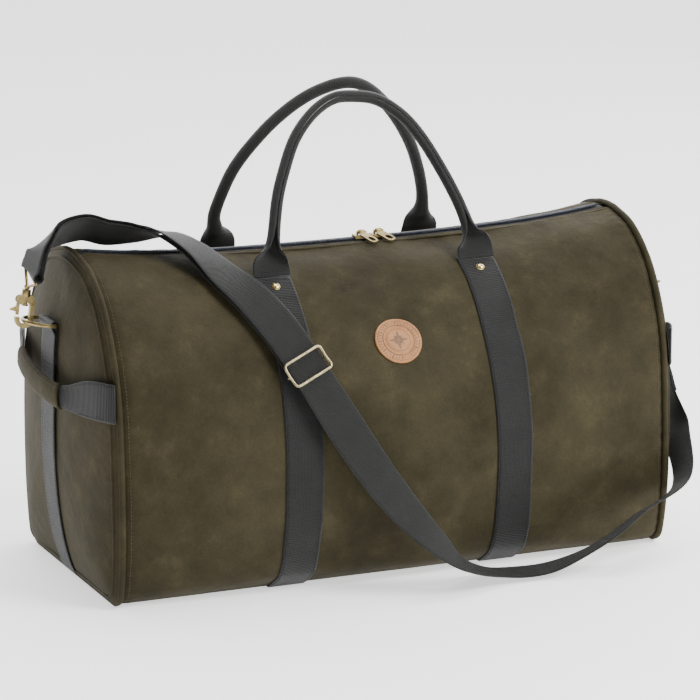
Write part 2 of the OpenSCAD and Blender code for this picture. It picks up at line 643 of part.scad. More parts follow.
// Hook body: round jaw open on the left, solid back and a swivel barrel
module hook_body() {
    jaw_c = jaw_r - jaw_low;
    color("DarkGoldenrod") difference() {
        union() {
            flat_xz(hook_t) difference() {
                union() {
                    translate([0, jaw_c]) circle(r = rim_r, $fn = 64);
                    translate([-rim_r, jaw_c]) square([2 * rim_r, 16]);
                    translate([0, 18.6]) circle(r = rim_r, $fn = 64);
                }
                translate([0, jaw_c]) circle(r = jaw_r, $fn = 48);
                translate([-jaw_r, jaw_c]) square([2 * jaw_r, 12]);
                translate([0, jaw_c + 12]) circle(r = jaw_r, $fn = 48);
                translate([-rim_r - 1, jaw_c + 2]) square([6, 15.2]);
                translate(pivot) circle(r = 4.2, $fn = 48);
            }
            for (side = [-1, 1]) translate([0, side * 2.05, 0]) flat_xz(0.9)
                translate(pivot) circle(r = 4.2, $fn = 48);
            translate([0, 0, 25]) cylinder(r = 4.5, h = barrel_top - 26, $fn = 48);
        }
        translate([0, 0, 16]) cylinder(r = pin_r + pin_clear, h = 20, $fn = 48);
        translate([pivot[0], 0, pivot[1]]) rotate([90, 0, 0])
            cylinder(r = 1.2, h = 12, center = true, $fn = 32);
    }
}
// Cross pin of the thumb trigger, riveted at both ends
module hook_pin() {
    color("Goldenrod") translate([pivot[0], 0, pivot[1]]) rotate([90, 0, 0]) {
        cylinder(r = 1.15, h = hook_t + 1, center = true, $fn = 32);
        for (side = [-1, 1]) translate([0, 0, side * (hook_t / 2 + 0.45)])
            cylinder(r = 1.9, h = 0.7, center = true, $fn = 32);
    }
}
// Trigger gate: closes the jaw and carries the thumb lever
module trigger() {
    color("DarkGoldenrod") difference() {
        flat_xz(2.6) {
            translate(pivot) circle(r = 3.4, $fn = 48);
            translate([pivot[0] - 3, 5.6]) square([3.2, pivot[1] - 5.6]);
            polygon([[pivot[0] - 1, 15.5], [pivot[0] - 9.5, 11.6], [pivot[0] - 9.5, 10.2],
                [pivot[0] - 1, 8.5]]);
        }
        translate([pivot[0], 0, pivot[1]]) rotate([90, 0, 0])
            cylinder(r = 1.3, h = 12, center = true, $fn = 32);
    }
}
// Swivel eye: pin through the hook's barrel and a wide loop for the strap
module swivel_eye(lean) {
    color("DarkGoldenrod") {
        translate([0, 0, 15]) cylinder(r = 3, h = 1.8, $fn = 32);
        translate([0, 0, 15.5]) cylinder(r = pin_r, h = barrel_top - 14, $fn = 48);
        translate([0, 0, barrel_top + 0.5]) rotate([lean, 0, 0]) {
            cylinder(r = 3, h = 2, $fn = 32);
            for (side = [-1, 1]) {
                translate([0, 0, 1]) rotate([-side * 53, 0, 0]) cylinder(r = wire_r, h = 25.3, $fn = 24);
                translate([0, side * (fitting_w / 2 - 0.8), 16.2]) sphere(r = wire_r + 0.15, $fn = 24);
            }
            translate([0, 0, 16.2]) rotate([90, 0, 0])
                cylinder(r = wire_r, h = fitting_w - 1.6, center = true, $fn = 24);
        }
    }
}
module left_hook() { at_left_hook() hook_body(); }
module right_hook() { at_right_hook() hook_body(); }
module left_hook_pin() { at_left_hook() hook_pin(); }
module right_hook_pin() { at_right_hook() hook_pin(); }
module left_trigger() { at_left_hook() trigger(); }
module right_trigger() { at_right_hook() trigger(); }
module left_swivel_eye() { at_left_hook() swivel_eye(20); }
module right_swivel_eye() { at_right_hook() swivel_eye(0); }

front_panel();
back_panel();
base_panel();
left_end_panel();
right_end_panel();
left_piping();
right_piping();
lining();
left_lining_end();
right_lining_end();
base_board();
front_zip_tape();
back_zip_tape();
front_zip_coil();
back_zip_coil();
zip_stops();
left_carry_loop();
right_carry_loop();
handle_rivets();
leather_patch();
left_end_webbing();
right_end_webbing();
left_grab_tails();
right_grab_tails();
front_handle();
front_handle_core();
back_handle();
back_handle_core();
left_zip_slider();
right_zip_slider();
left_zip_puller();
right_zip_puller();
left_dring();
right_dring();
left_grab_handle();
right_grab_handle();
left_grab_wrap();
right_grab_wrap();
shoulder_strap();
strap_return();
left_swivel_eye();
right_swivel_eye();
left_hook();
right_hook();
left_hook_pin();
right_hook_pin();
left_trigger();
right_trigger();
strap_adjuster();
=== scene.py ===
"""Looks of the canvas weekender bag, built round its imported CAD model.

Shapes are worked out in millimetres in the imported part's own frame, and
scaled to metres as the meshes are made. -Y is the front, +X the right end and +Z up.
"""
import math

import bmesh
import bpy
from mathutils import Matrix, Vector, noise


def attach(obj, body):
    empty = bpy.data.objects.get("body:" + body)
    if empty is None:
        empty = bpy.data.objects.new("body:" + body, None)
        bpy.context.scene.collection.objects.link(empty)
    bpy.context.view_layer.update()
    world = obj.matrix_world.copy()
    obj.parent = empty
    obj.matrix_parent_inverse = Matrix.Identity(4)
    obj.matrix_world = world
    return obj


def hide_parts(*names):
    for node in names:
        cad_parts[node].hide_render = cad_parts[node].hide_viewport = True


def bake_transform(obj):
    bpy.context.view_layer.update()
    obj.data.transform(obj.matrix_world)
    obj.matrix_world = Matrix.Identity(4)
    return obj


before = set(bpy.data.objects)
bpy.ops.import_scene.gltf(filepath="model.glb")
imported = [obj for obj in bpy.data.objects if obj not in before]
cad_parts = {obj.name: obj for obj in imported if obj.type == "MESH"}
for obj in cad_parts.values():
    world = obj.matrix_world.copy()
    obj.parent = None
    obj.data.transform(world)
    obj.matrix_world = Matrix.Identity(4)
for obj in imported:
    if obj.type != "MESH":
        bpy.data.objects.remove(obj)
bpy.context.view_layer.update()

MM = 0.001
TAU = 2 * math.pi
UP = Vector((0, 0, 1))
BAG_MIDDLE = Vector((0, 0, 0.16))
ALONG = Vector((1, 0, 0))


# ---------------------------------------------------------------- camera
def make_camera():
    azimuth, elevation, distance = math.radians(23), math.radians(13.89), 4.2
    aim = Vector((0.0038, 0, 0.2072))
    look = Vector((math.sin(azimuth) * math.cos(elevation),
                   math.cos(azimuth) * math.cos(elevation), -math.sin(elevation)))
    camera = bpy.data.objects.new("camera", bpy.data.cameras.new("camera"))
    camera.data.lens = 207.9
    camera.data.sensor_width = 36
    camera.data.clip_end = 50
    camera.location = aim - look * distance
    camera.rotation_mode = "QUATERNION"
    camera.rotation_quaternion = look.to_track_quat("-Z", "Y")
    bpy.context.scene.collection.objects.link(camera)
    bpy.context.scene.camera = camera


make_camera()


# ---------------------------------------------------------------- shader helpers
class Nodes:
    """A new node material, with short calls for the nodes used here."""

    def __init__(self, name):
        self.material = bpy.data.materials.new(name)
        self.material.use_nodes = True
        self.tree = self.material.node_tree
        self.tree.nodes.clear()
        out = self.tree.nodes.new("ShaderNodeOutputMaterial")
        self.shader = self.tree.nodes.new("ShaderNodeBsdfPrincipled")
        self.tree.links.new(self.shader.outputs[0], out.inputs[0])

    def new(self, kind, **values):
        node = self.tree.nodes.new("ShaderNode" + kind)
        for key, value in values.items():
            setattr(node, key, value)
        return node

    def link(self, a, b):
        self.tree.links.new(a, b)

    def fix(self, **sockets):
        for key, value in sockets.items():
            self.shader.inputs[key.replace("_", " ")].default_value = value

    def place(self, which="Object"):
        return self.new("TexCoord").outputs[which]

    def noise(self, where, scale, detail=4, rough=0.55):
        node = self.new("TexNoise")
        node.inputs["Scale"].default_value = scale
        node.inputs["Detail"].default_value = detail
        node.inputs["Roughness"].default_value = rough
        self.link(where, node.inputs["Vector"])
        return node.outputs["Fac"]

    def math(self, what, a, b=0.0):
        node = self.new("Math", operation=what)
        for i, value in enumerate((a, b)):
            if isinstance(value, (int, float)):
                node.inputs[i].default_value = value
            else:
                self.link(value, node.inputs[i])
        return node.outputs[0]

    def ramp(self, fac, stops):
        node = self.new("ValToRGB")
        elements = node.color_ramp.elements
        while len(elements) < len(stops):
            elements.new(0.5)
        for element, (at, colour) in zip(elements, stops):
            element.position = at
            element.color = (*colour, 1) if len(colour) == 3 else colour
        self.link(fac, node.inputs["Fac"])
        return node.outputs["Color"]

    def mix(self, fac, a, b, how="MIX"):
        node = self.new("MixRGB", blend_type=how)
        for socket, value in ((0, fac), (1, a), (2, b)):
            if isinstance(value, (int, float)):
                node.inputs[socket].default_value = value
            elif isinstance(value, tuple):
                node.inputs[socket].default_value = (*value, 1)
            else:
                self.link(value, node.inputs[socket])
        return node.outputs[0]

    def bump(self, height, distance, strength=1.0, under=None):
        node = self.new("Bump")
        node.inputs["Distance"].default_value = distance
        node.inputs["Strength"].default_value = strength
        self.link(height, node.inputs["Height"])
        if under is not None:
            self.link(under, node.inputs["Normal"])
        return node.outputs["Normal"]

    def grey(self, fac, low, high):
        return self.math("ADD", self.math("MULTIPLY", fac, high - low), low)

    def weigh(self, a, share, b):
        """The two values together, the first with this share."""
        return self.math("ADD", self.math("MULTIPLY", a, share),
                         self.math("MULTIPLY", b, round(1 - share, 6)))

    def colour(self, value):
        self.link(value, self.shader.inputs["Base Color"])

    def roughness(self, value):
        self.link(value, self.shader.inputs["Roughness"])

    def normal(self, value):
        self.link(value, self.shader.inputs["Normal"])


def canvas_material(name, dark, light, worn):
    """Waxed canvas: soft cloudy mottling, small scuffs and a close weave."""
    n = Nodes(name)
    where = n.place()
    clouds = n.noise(where, 9, 5, 0.6)
    blots = n.noise(where, 34, 6, 0.65)
    grain = n.noise(where, 420, 3, 0.7)
    base = n.ramp(n.weigh(clouds, 0.55, blots),
                  [(0.36, dark), (0.64, light)])
    base = n.mix(n.math("MULTIPLY", n.ramp(blots, [(0.56, (0, 0, 0)), (0.74, (1, 1, 1))]), 0.35),
                 base, worn)
    speckle = n.ramp(grain, [(0.3, (0.62, 0.62, 0.62)), (0.72, (1.3, 1.3, 1.3))])
    base = n.mix(0.42, base, speckle, "MULTIPLY")
    n.colour(base)
    n.roughness(n.grey(blots, 0.66, 0.86))
    n.fix(Specular_IOR_Level=0.12, Sheen_Weight=0.04, Sheen_Roughness=0.45,
          Sheen_Tint=(0.75, 0.68, 0.55, 1))
    threads = n.new("TexWave", wave_type="BANDS", bands_direction="DIAGONAL")
    threads.inputs["Scale"].default_value = 320
    threads.inputs["Distortion"].default_value = 3
    threads.inputs["Detail"].default_value = 1
    n.link(where, threads.inputs["Vector"])
    soft = n.bump(clouds, 0.006, 0.35)
    soft = n.bump(n.noise(where, 110, 4, 0.6), 0.0012, 0.5, soft)
    soft = n.bump(grain, 0.0004, 0.6, soft)
    n.normal(n.bump(threads.outputs["Fac"], 0.0002, 0.35, soft))
    return n.material


def webbing_material(name, rib, cross, deep, high, twill=0.0):
    """Woven webbing from its own map in millimetres: ribs rib apart along it, cross apart over it."""
    n = Nodes(name)
    uv = n.new("UVMap", uv_map="cut")
    parts = n.new("SeparateXYZ")
    n.link(uv.outputs[0], parts.inputs[0])
    across, along = parts.outputs[0], parts.outputs[1]
    slant = n.math("ADD", along, n.math("MULTIPLY", across, twill))
    ribs = n.math("ABSOLUTE", n.math("SINE", n.math("MULTIPLY", slant, math.pi / rib)))
    lines = n.math("ABSOLUTE", n.math("SINE", n.math("MULTIPLY", across, math.pi / cross)))
    weave = n.math("MULTIPLY", n.math("POWER", ribs, 0.6), n.grey(n.math("POWER", lines, 0.7), 0.45, 1.0))
    where = n.place()
    fuzz = n.noise(where, 900, 2, 0.7)
    wear = n.noise(where, 40, 4, 0.6)
    shade = n.math("MULTIPLY", weave, n.grey(wear, 0.7, 1.25))
    n.colour(n.ramp(n.weigh(shade, 0.8, fuzz),
                    [(0.12, deep), (0.9, high)]))
    n.roughness(n.grey(wear, 0.55, 0.75))
    n.fix(Specular_IOR_Level=0.35, Sheen_Weight=0.12, Sheen_Roughness=0.4)
    soft = n.bump(fuzz, 0.0003, 0.35)
    n.normal(n.bump(weave, 0.0007, 0.8, soft))
    return n.material


def metal_material(name, dark, light, low, high):
    """Plated metal, darker in patches and finely scratched."""
    n = Nodes(name)
    where = n.place()
    patches = n.noise(where, 130, 4, 0.6)
    fine = n.noise(where, 900, 3, 0.7)
    n.colour(n.ramp(n.weigh(patches, 0.7, fine),
                    [(0.36, dark), (0.62, light)]))
    n.roughness(n.grey(patches, low, high))
    n.fix(Metallic=1.0)
    n.normal(n.bump(fine, 0.0001, 0.25))
    return n.material


def cloth_material(name, deep, high, pitch, rough=0.85):
    """Plain small-grained cloth or moulded nylon."""
    n = Nodes(name)
    where = n.place()
    grain = n.noise(where, 1 / pitch, 3, 0.6)
    patches = n.noise(where, 25, 3, 0.5)
    n.colour(n.ramp(n.weigh(grain, 0.6, patches),
                    [(0.35, deep), (0.68, high)]))
    n.roughness(n.grey(grain, rough - 0.1, rough))
    n.fix(Specular_IOR_Level=0.3)
    n.normal(n.bump(grain, 0.0003, 0.5))
    return n.material


def leather_material(name, dark, light, rough):
    """Smooth leather with fine pores."""
    n = Nodes(name)
    where = n.place()
    cells = n.new("TexVoronoi", feature="DISTANCE_TO_EDGE")
    cells.inputs["Scale"].default_value = 900
    n.link(where, cells.inputs["Vector"])
    tone = n.noise(where, 60, 5, 0.6)
    fine = n.noise(where, 500, 3, 0.6)
    n.colour(n.ramp(n.weigh(tone, 0.7, fine),
                    [(0.36, dark), (0.66, light)]))
    n.roughness(n.grey(tone, rough - 0.12, rough + 0.08))
    n.fix(Specular_IOR_Level=0.4)
    pores = n.bump(cells.outputs["Distance"], 0.0002, 0.4)
    n.normal(n.bump(tone, 0.0008, 0.4, pores))
    return n.material


CANVAS_DARK, CANVAS_LIGHT = (0.0210, 0.0172, 0.0076), (0.046, 0.0385, 0.0190)
CANVAS_WORN = (0.070, 0.0590, 0.0310)
canvas = canvas_material("waxed_canvas", CANVAS_DARK, CANVAS_LIGHT, CANVAS_WORN)
band_web = webbing_material("band_webbing", 2.1, 1.5,
                            (0.0007, 0.0008, 0.0006), (0.0024, 0.0027, 0.0020))
strap_web = webbing_material("strap_webbing", 1.7, 1.5,
                             (0.0008, 0.0009, 0.0007), (0.0044, 0.0049, 0.0036), 0.35)
handle_web = webbing_material("handle_webbing", 1.8, 1.4,
                              (0.0013, 0.0014, 0.0012), (0.0092, 0.0096, 0.0084), 0.5)
thread_brown = cloth_material("brown_thread", (0.04, 0.032, 0.018), (0.11, 0.088, 0.054), 0.0004)
thread_black = cloth_material("black_thread", (0.006, 0.006, 0.0065), (0.034, 0.035, 0.037), 0.0004)
tape_cloth = cloth_material("zip_tape_cloth", (0.006, 0.007, 0.010), (0.016, 0.019, 0.027), 0.0006)
coil_nylon = cloth_material("coil_nylon", (0.016, 0.019, 0.027), (0.05, 0.058, 0.078), 0.0012, 0.55)
lining_cloth = cloth_material("lining_cloth", (0.03, 0.03, 0.033), (0.07, 0.07, 0.075), 0.0008)
board_fibre = cloth_material("board_fibre", (0.14, 0.12, 0.1), (0.24, 0.21, 0.17), 0.001)
cord_cotton = cloth_material("filler_cord", (0.5, 0.48, 0.42), (0.75, 0.72, 0.66), 0.001)
leather = leather_material("patch_leather", (0.285, 0.112, 0.030), (0.42, 0.190, 0.060), 0.55)
leather_burnt = leather_material("patch_print", (0.10, 0.048, 0.02), (0.20, 0.10, 0.045), 0.6)
antique_brass = metal_material("antique_brass", (0.15, 0.11, 0.042), (0.38, 0.295, 0.135), 0.28, 0.46)
bright_brass = metal_material("brushed_brass", (0.20, 0.165, 0.09), (0.44, 0.37, 0.22), 0.24, 0.4)
rivet_brass = metal_material("rivet_brass", (0.62, 0.46, 0.16), (0.90, 0.72, 0.34), 0.16, 0.28)


# ---------------------------------------------------------------- mesh helpers
class Shape:
    """Vertices, faces and a map in millimetres, gathered before the mesh is made."""

    def __init__(self):
        self.points, self.faces, self.cut = [], [], []

    def grid(self, rows, cut=None, wrap=False, cap=False):
        base, n = len(self.points), len(rows[0])
        for i, row in enumerate(rows):
            for j, p in enumerate(row):
                self.points.append(tuple(c * MM for c in p))
                self.cut.append(cut(i, j) if cut else (p[0], p[1] + p[2]))
        for i in range(len(rows) - 1):
            for j in range(n if wrap else n - 1):
                a, b = base + i * n + j, base + i * n + (j + 1) % n
                self.faces.append((a, b, b + n, a + n))
        if cap:
            self.faces.append(tuple(base + j for j in reversed(range(n))))
            self.faces.append(tuple(base + (len(rows) - 1) * n + j for j in range(n)))

    def make(self, name, material, body, slot, replaces=(), flat=False):
        mesh = bpy.data.meshes.new(name)
        mesh.from_pydata(self.points, [], self.faces)
        layer = mesh.uv_layers.new(name="cut")
        for loop in mesh.loops:
            layer.data[loop.index].uv = self.cut[loop.vertex_index]
        for face in mesh.polygons:
            face.use_smooth = not flat
        mesh.materials.append(material)
        piece = bpy.data.objects.new(name, mesh)
        bpy.context.scene.collection.objects.link(piece)
        turn_outward(piece)
        if body:
            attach(piece, body)
        if replaces:
            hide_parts(*replaces)
        return piece


def turn_outward(piece):
    """Turns faces outward; an open sheet's faces turn away from the middle of the bag."""
    mesh = bmesh.new()
    mesh.from_mesh(piece.data)
    bmesh.ops.recalc_face_normals(mesh, faces=mesh.faces)
    is_open = any(edge.is_boundary for edge in mesh.edges)
    outward = sum(face.normal.dot(face.calc_center_median() - BAG_MIDDLE) * face.calc_area()
                  for face in mesh.faces)
    if is_open and outward < 0:
        bmesh.ops.reverse_faces(mesh, faces=mesh.faces)
    mesh.to_mesh(piece.data)
    mesh.free()


def thicken(piece, thick):
    """Gives an open sheet its thickness in mm, inward."""
    solid = piece.modifiers.new("thickness", "SOLIDIFY")
    solid.thickness = thick * MM
    solid.offset = -1


def lerp(a, b, f):
    return a + (b - a) * f


def clamp01(f):
    return max(0.0, min(1.0, f))


def ease(f):
    f = clamp01(f)
    return f * f * (3 - 2 * f)


def bell(d, width):
    return math.exp(-(d / width) ** 2)


def catmull(p, t):
    """Point at t, counted in control points, on a smooth curve through p."""
    i = min(int(t), len(p) - 2)
    f = t - i
    a, b, c, d = p[max(i - 1, 0)], p[i], p[i + 1], p[min(i + 2, len(p) - 1)]
    return 0.5 * (2 * b + (c - a) * f + (2 * a - 5 * b + 4 * c - d) * f * f
                  + (3 * b - a - 3 * c + d) * f * f * f)


def resample(p, n):
    p = [Vector(q) for q in p]
    return [catmull(p, i * (len(p) - 1) / n) for i in range(n + 1)]


def relax(path, rounds, keep=1):
    """Evens out a path's kinks and leaves its ends where they are."""
    for _ in range(rounds):
        path = (path[:keep] + [(path[i - 1] + path[i] * 2 + path[i + 1]) / 4
                               for i in range(keep, len(path) - keep)] + path[-keep:])
    return path


def tangent(path, i):
    return (path[min(i + 1, len(path) - 1)] - path[max(i - 1, 0)]).normalized()


def lengths(path):
    total, out = 0.0, [0.0]
    for a, b in zip(path, path[1:]):
        total += (b - a).length
        out.append(total)
    return out


def table_at(table, x):
    """Value from a table of (x, value): straight between its rows and flat past its ends."""
    if x <= table[0][0]:
        return table[0][1]
    for (x0, v0), (x1, v1) in zip(table, table[1:]):
        if x <= x1:
            return lerp(v0, v1, (x - x0) / (x1 - x0))
    return table[-1][1]


def tube(shape, path, radius, sides=10, closed=False, flat_dir=UP):
    """A round rod along path, its first side turned by flat_dir."""
    rows, at = [], lengths(path)
    for i, p in enumerate(path):
        if closed:
            t = (path[(i + 1) % len(path)] - path[i - 1]).normalized()
        else:
            t = tangent(path, i)
        b = t.cross(flat_dir)
        if b.length < 0.02:
            b = t.cross(ALONG)
        b.normalize()
        n = b.cross(t)
        rows.append([p + b * (radius * math.cos(TAU * k / sides)) + n * (radius * math.sin(TAU * k / sides))
                     for k in range(sides)])
    if closed:
        rows.append(rows[0])
        at.append(at[-1])
    shape.grid(rows, lambda i, j: (TAU * radius * j / sides, at[i]), wrap=True, cap=not closed)


STITCH_RINGS = ((-0.5, 0.25), (-0.36, 0.9), (0, 1.0), (0.36, 0.9), (0.5, 0.25))


def stitches(shape, path, normals, pitch, length, radius, sink=0.35):
    """A row of short threads lying along path, with normals pointing out of the cloth."""
    at = lengths(path)
    count = int(at[-1] / pitch)
    j = 0
    for k in range(count):
        want = (k + 0.5) * pitch
        while j < len(at) - 2 and at[j + 1] < want:
            j += 1
        f = (want - at[j]) / max(1e-6, at[j + 1] - at[j])
        d = (path[j + 1] - path[j]).normalized()
        n = (normals[j] * (1 - f) + normals[j + 1] * f).normalized()
        c = path[j].lerp(path[j + 1], f) - n * radius * sink
        b = d.cross(n).normalized()
        rows = []
        for along, size in STITCH_RINGS:
            middle = c + d * (length * along) - n * (abs(along) * 0.5 * radius)
            rows.append([middle + b * (radius * size * math.cos(TAU * m / 6))
                         + n * (radius * size * math.sin(TAU * m / 6)) for m in range(6)])
        shape.grid(rows, wrap=True, cap=True)


def stitch_spots(shape, spots, pitch, length, radius):
    """A row of stitches through (point, normal) pairs."""
    stitches(shape, [p for p, _ in spots], [n for _, n in spots], pitch, length, radius)


# Section of a band of webbing, as (share of width, share of thickness), with rounded edges
BAND_COLUMNS = 10
BAND_STEPS = [k / BAND_COLUMNS * 0.96 for k in range(BAND_COLUMNS + 1)]
BAND_SECTION = ([(-0.5 + u + 0.02, 0.5) for u in BAND_STEPS] + [(0.5, 0.0)]
                + [(0.5 - u - 0.02, -0.5) for u in BAND_STEPS] + [(-0.5, 0.0)])


def band(shape, centres, across):
    """A strip of webbing through centres; across gives the direction of its width."""
    rows, at = [], lengths(centres)
    for i, c in enumerate(centres):
        t = tangent(centres, i)
        a = (across[i] - t * across[i].dot(t)).normalized()
        n = t.cross(a)
        rows.append([c + a * (WEB_W * u) + n * (WEB_T * h) for u, h in BAND_SECTION])
    shape.grid(rows, lambda i, j: (BAND_SECTION[j][0] * WEB_W + 20, at[i]), wrap=True, cap=True)


# ---------------------------------------------------------------- the bag's skin
BAG_H, BASE_Z, HALF_LEN = 340.0, 1.9, 300.0
# Middle of each carry loop along X: under the base, at the front seam and at the back seam
LEFT_LOOP = (-117.5, -108.5, -120.0)
RIGHT_LOOP = (117.0, 117.5, 109.0)
BASE_HALF_W = 118
WEB_W, WEB_T = 40.0, 1.6
CANVAS_T = 1.4
# How far an end panel stands out at its middle, the middle's height, and how its dome rounds off
DOME_OUT, DOME_Z, DOME_POWER = 26, 150, 0.6
# From the end seam in to the second ridge beside it
RIDGE_IN = 8.6
END_SIDE = [(-BASE_HALF_W, 0), (-134, 12), (-142, 58), (-143, 108), (-141, 160), (-136, 212),
            (-122, 256), (-95, 300), (-58, 328), (-22, 338), (-9, 339.6)]
MID_SIDE = [(-BASE_HALF_W, 0), (-148, 20), (-162, 62), (-165, 105), (-161, 158), (-147, 212),
            (-123, 252), (-95, 282), (-60, 307), (-22, 321.5), (-9, 324.6)]
LAST = len(END_SIDE) - 1
HANDLE_SEAM = 8
RIDGE_SHARE = [0, 0, 0, 0, 0, 0, 0, 0, 0, 0.8, 1]
RIDGE_END = [(100, 325.7), (150, 326.9), (200, 329), (250, 333.2), (270, 335.6), (290, 338.4), (300, 340)]
RIDGE = [(-x, z) for x, z in reversed(RIDGE_END)] + [(-40, 325.1), (26, 325), (60, 325.1)] + RIDGE_END
outlines = {}


def lift(z):
    return BASE_Z + z * (BAG_H - BASE_Z) / BAG_H


def ridge_z(x):
    return table_at(RIDGE, x)


def outline(x):
    """Control points of the front side's outline at x."""
    key = round(x, 2)
    if key not in outlines:
        share = 1 - min(1, abs(x) / HALF_LEN) ** 3
        sag = (BAG_H - ridge_z(x)) / (BAG_H - 325)
        outlines[key] = [
            Vector((lerp(e[0], m[0], share), lift(lerp(e[1], m[1], lerp(share, sag, r)))))
            for e, m, r in zip(END_SIDE, MID_SIDE, RIDGE_SHARE)]
    return outlines[key]


def band_middle(loop, s, side=-1):
    """Middle of a carry loop's band at outline step s; it leans from the base to its seam."""
    return lerp(loop[0], loop[1 if side < 0 else 2], clamp01(s / HANDLE_SEAM))


def slack(x, s, side):
    """How far the soft canvas stands out of its plain shape, in mm."""
    seed = 0 if side < 0 else 40
    free = ease((LAST - s) / 1.6) * ease(s / 0.9) * ease((HALF_LEN - abs(x)) / 18)
    large = noise.noise(Vector((x / 120, s * 0.62, 3.1 + seed))) * 3.4
    medium = noise.noise(Vector((x / 46 + 7, s * 1.5, 9.4 + seed))) * 1.1
    slope = noise.noise(Vector(((x + s * 26) / 60, s * 0.5, 17.2 + seed))) * 1.2
    fine = noise.noise(Vector((x / 17 + 2, s * 3.7, 5.5 + seed))) * 0.28
    pinch = sum(-1.5 * bell(x - band_middle(loop, s, side), 27) for loop in (LEFT_LOOP, RIGHT_LOOP))
    held = max(bell(x - band_middle(loop, HANDLE_SEAM, side), 36) for loop in (LEFT_LOOP, RIGHT_LOOP))
    free *= 1 - 0.94 * held * bell(s - HANDLE_SEAM, 0.7)
    seam = 0.55 * math.sin(s * 21 + 2.2 * noise.noise(Vector((s, x / 300, 1))))
    seam *= bell(HALF_LEN - 8 - abs(x), 9)
    tuck = -1.3 * bell(abs(x) - 291.5, 1.8) - 1.6 * bell(abs(x) - 296.5, 2.2)
    top = 0.35 * math.sin(x / 4.1 + 1.5 * noise.noise(Vector((x / 30, side, 4)))) * bell(s - 9.5, 0.45)
    return free * (large + medium + slope + fine + pinch) + (seam + top) * ease((LAST + 0.2 - s) / 0.5) + tuck


def skin(x, s, out=0.0, side=-1):
    """(point, normal) on the bag's side: x along it, s outline steps up it."""
    line = outline(x)
    s = clamp01(s / LAST) * LAST
    p = catmull(line, s)
    low, high = catmull(line, max(0, s - 0.02)), catmull(line, min(LAST, s + 0.02))
    t = (high - low).normalized()
    n = Vector((-t.y, t.x))
    q = p + n * (out + slack(x, s, side))
    if side < 0:
        return Vector((x, q.x, q.y)), Vector((0, n.x, n.y))
    return Vector((x, -q.x, q.y)), Vector((0, -n.x, n.y))


# The folded edge beside the zip, as (inward, down) from the last outline point
FOLD = [(0.9, 0.25), (1.2, 1.0), (0.6, 1.8), (-2.5, 2.3), (-8.0, 2.4)]


def side_panel(name, side, node):
    shape = Shape()
    xs = [-298.6, -297, -295.5] + [x * 4.0 for x in range(-73, 74)] + [295.5, 297, 298.6]
    n_up = 12 * LAST
    rows = []
    for x in xs:
        drop = 2.2 * ease((abs(x) - 292) / 6.6)
        row = [skin(x, k / 12, -drop, side)[0] for k in range(n_up + 1)]
        edge = row[-1]
        row += [edge + Vector((0, -side * inward, -down)) for inward, down in FOLD]
        rows.append(row)
    shape.grid(rows)
    thicken(shape.make(name, canvas, "bag", "canvas", [node]), CANVAS_T)


def dome(ring):
    """Distance along X of a plain end panel; ring runs from 0 in its middle to 1 at the seam."""
    return HALF_LEN + DOME_OUT * max(0.0, 1 - ring * ring) ** DOME_POWER


def end_point(side_x, ring, turn_step):
    """Point on a domed end panel; ring runs from 0 in its middle to 1 at the seam."""
    y, z = end_ring()[turn_step % len(end_ring())]
    lump = 1.6 * noise.noise(Vector((y * ring / 60, z * ring / 60, 4 * side_x))) * ease((1 - ring) / 0.12)
    lump += 0.5 * noise.noise(Vector((y * ring / 16, z * ring / 16, 9 * side_x))) * ease((1 - ring) / 0.1)
    return Vector((side_x * (dome(ring) + lump), y * ring, lerp(DOME_Z, z, ring)))


ring_cache = []


def end_ring():
    """Outline of the end seam as (y, z), once round."""
    if not ring_cache:
        line = [Vector((y, lift(z))) for y, z in END_SIDE]
        up = [catmull(line, k / 10) for k in range(LAST * 10 + 1)]
        half = [Vector((-54 - 54 * k / 6, BASE_Z)) for k in range(6)]
        left = [Vector((-27 - 27 * k / 3, BASE_Z)) for k in range(3)]
        front = [Vector((0, BASE_Z)), Vector((-13, BASE_Z))] + left + half + up
        front += [Vector((-4.5, BAG_H)), Vector((0, BAG_H))]
        ring_cache.extend([tuple(p) for p in front])
        ring_cache.extend([(-p.x, p.y) for p in reversed(front[1:-1])])
    return ring_cache


def dome_x(z):
    """Distance along X of an end panel's middle line at height z."""
    return dome((z - DOME_Z) / (BAG_H - DOME_Z) if z > DOME_Z else (DOME_Z - z) / (DOME_Z - BASE_Z))


def end_panel(name, side_x, node):
    shape = Shape()
    rings = [1.0, 0.997, 0.992, 0.985, 0.975, 0.962, 0.945, 0.92, 0.89]
    rings += [0.85 - 0.05 * k for k in range(17)]
    count = len(end_ring())
    rows = [[end_point(side_x, max(ring, 0.012), k) for k in range(count)] for ring in rings]
    shape.grid(rows, wrap=True)
    last = (len(rows) - 1) * count
    shape.faces.append(tuple(last + k for k in range(count)))
    thicken(shape.make(name, canvas, "bag", "canvas", [node]), CANVAS_T)


def piping(name, side_x, node):
    """Piping cord in its canvas cover, with the seam's second ridge beside it."""
    ring = [Vector((0, y, z)) for y, z in end_ring()]
    count = len(ring)
    inward = []
    for i in range(count):
        t = (ring[(i + 1) % count] - ring[i - 1]).normalized()
        across = Vector((0, t.z, -t.y))
        inward.append(across if across.dot(UP * DOME_Z - ring[i]) > 0 else -across)
    shape = Shape()
    centre = [p + n * 1.3 + ALONG * (side_x * (HALF_LEN - 0.2)) for p, n in zip(ring, inward)]
    tube(shape, centre, 3.3, 14, closed=True, flat_dir=ALONG)
    ridge = [p + n * RIDGE_IN + ALONG * (side_x * (dome_edge(p) - 0.2)) for p, n in zip(ring, inward)]
    tube(shape, ridge, 1.7, 10, closed=True, flat_dir=ALONG)
    shape.make(name, canvas, "bag", "canvas", [node])


def dome_edge(p):
    """Distance along X of the end panel where the second ridge runs, beside ring point p."""
    return dome(1 - RIDGE_IN / max(60.0, (p - UP * DOME_Z).length))


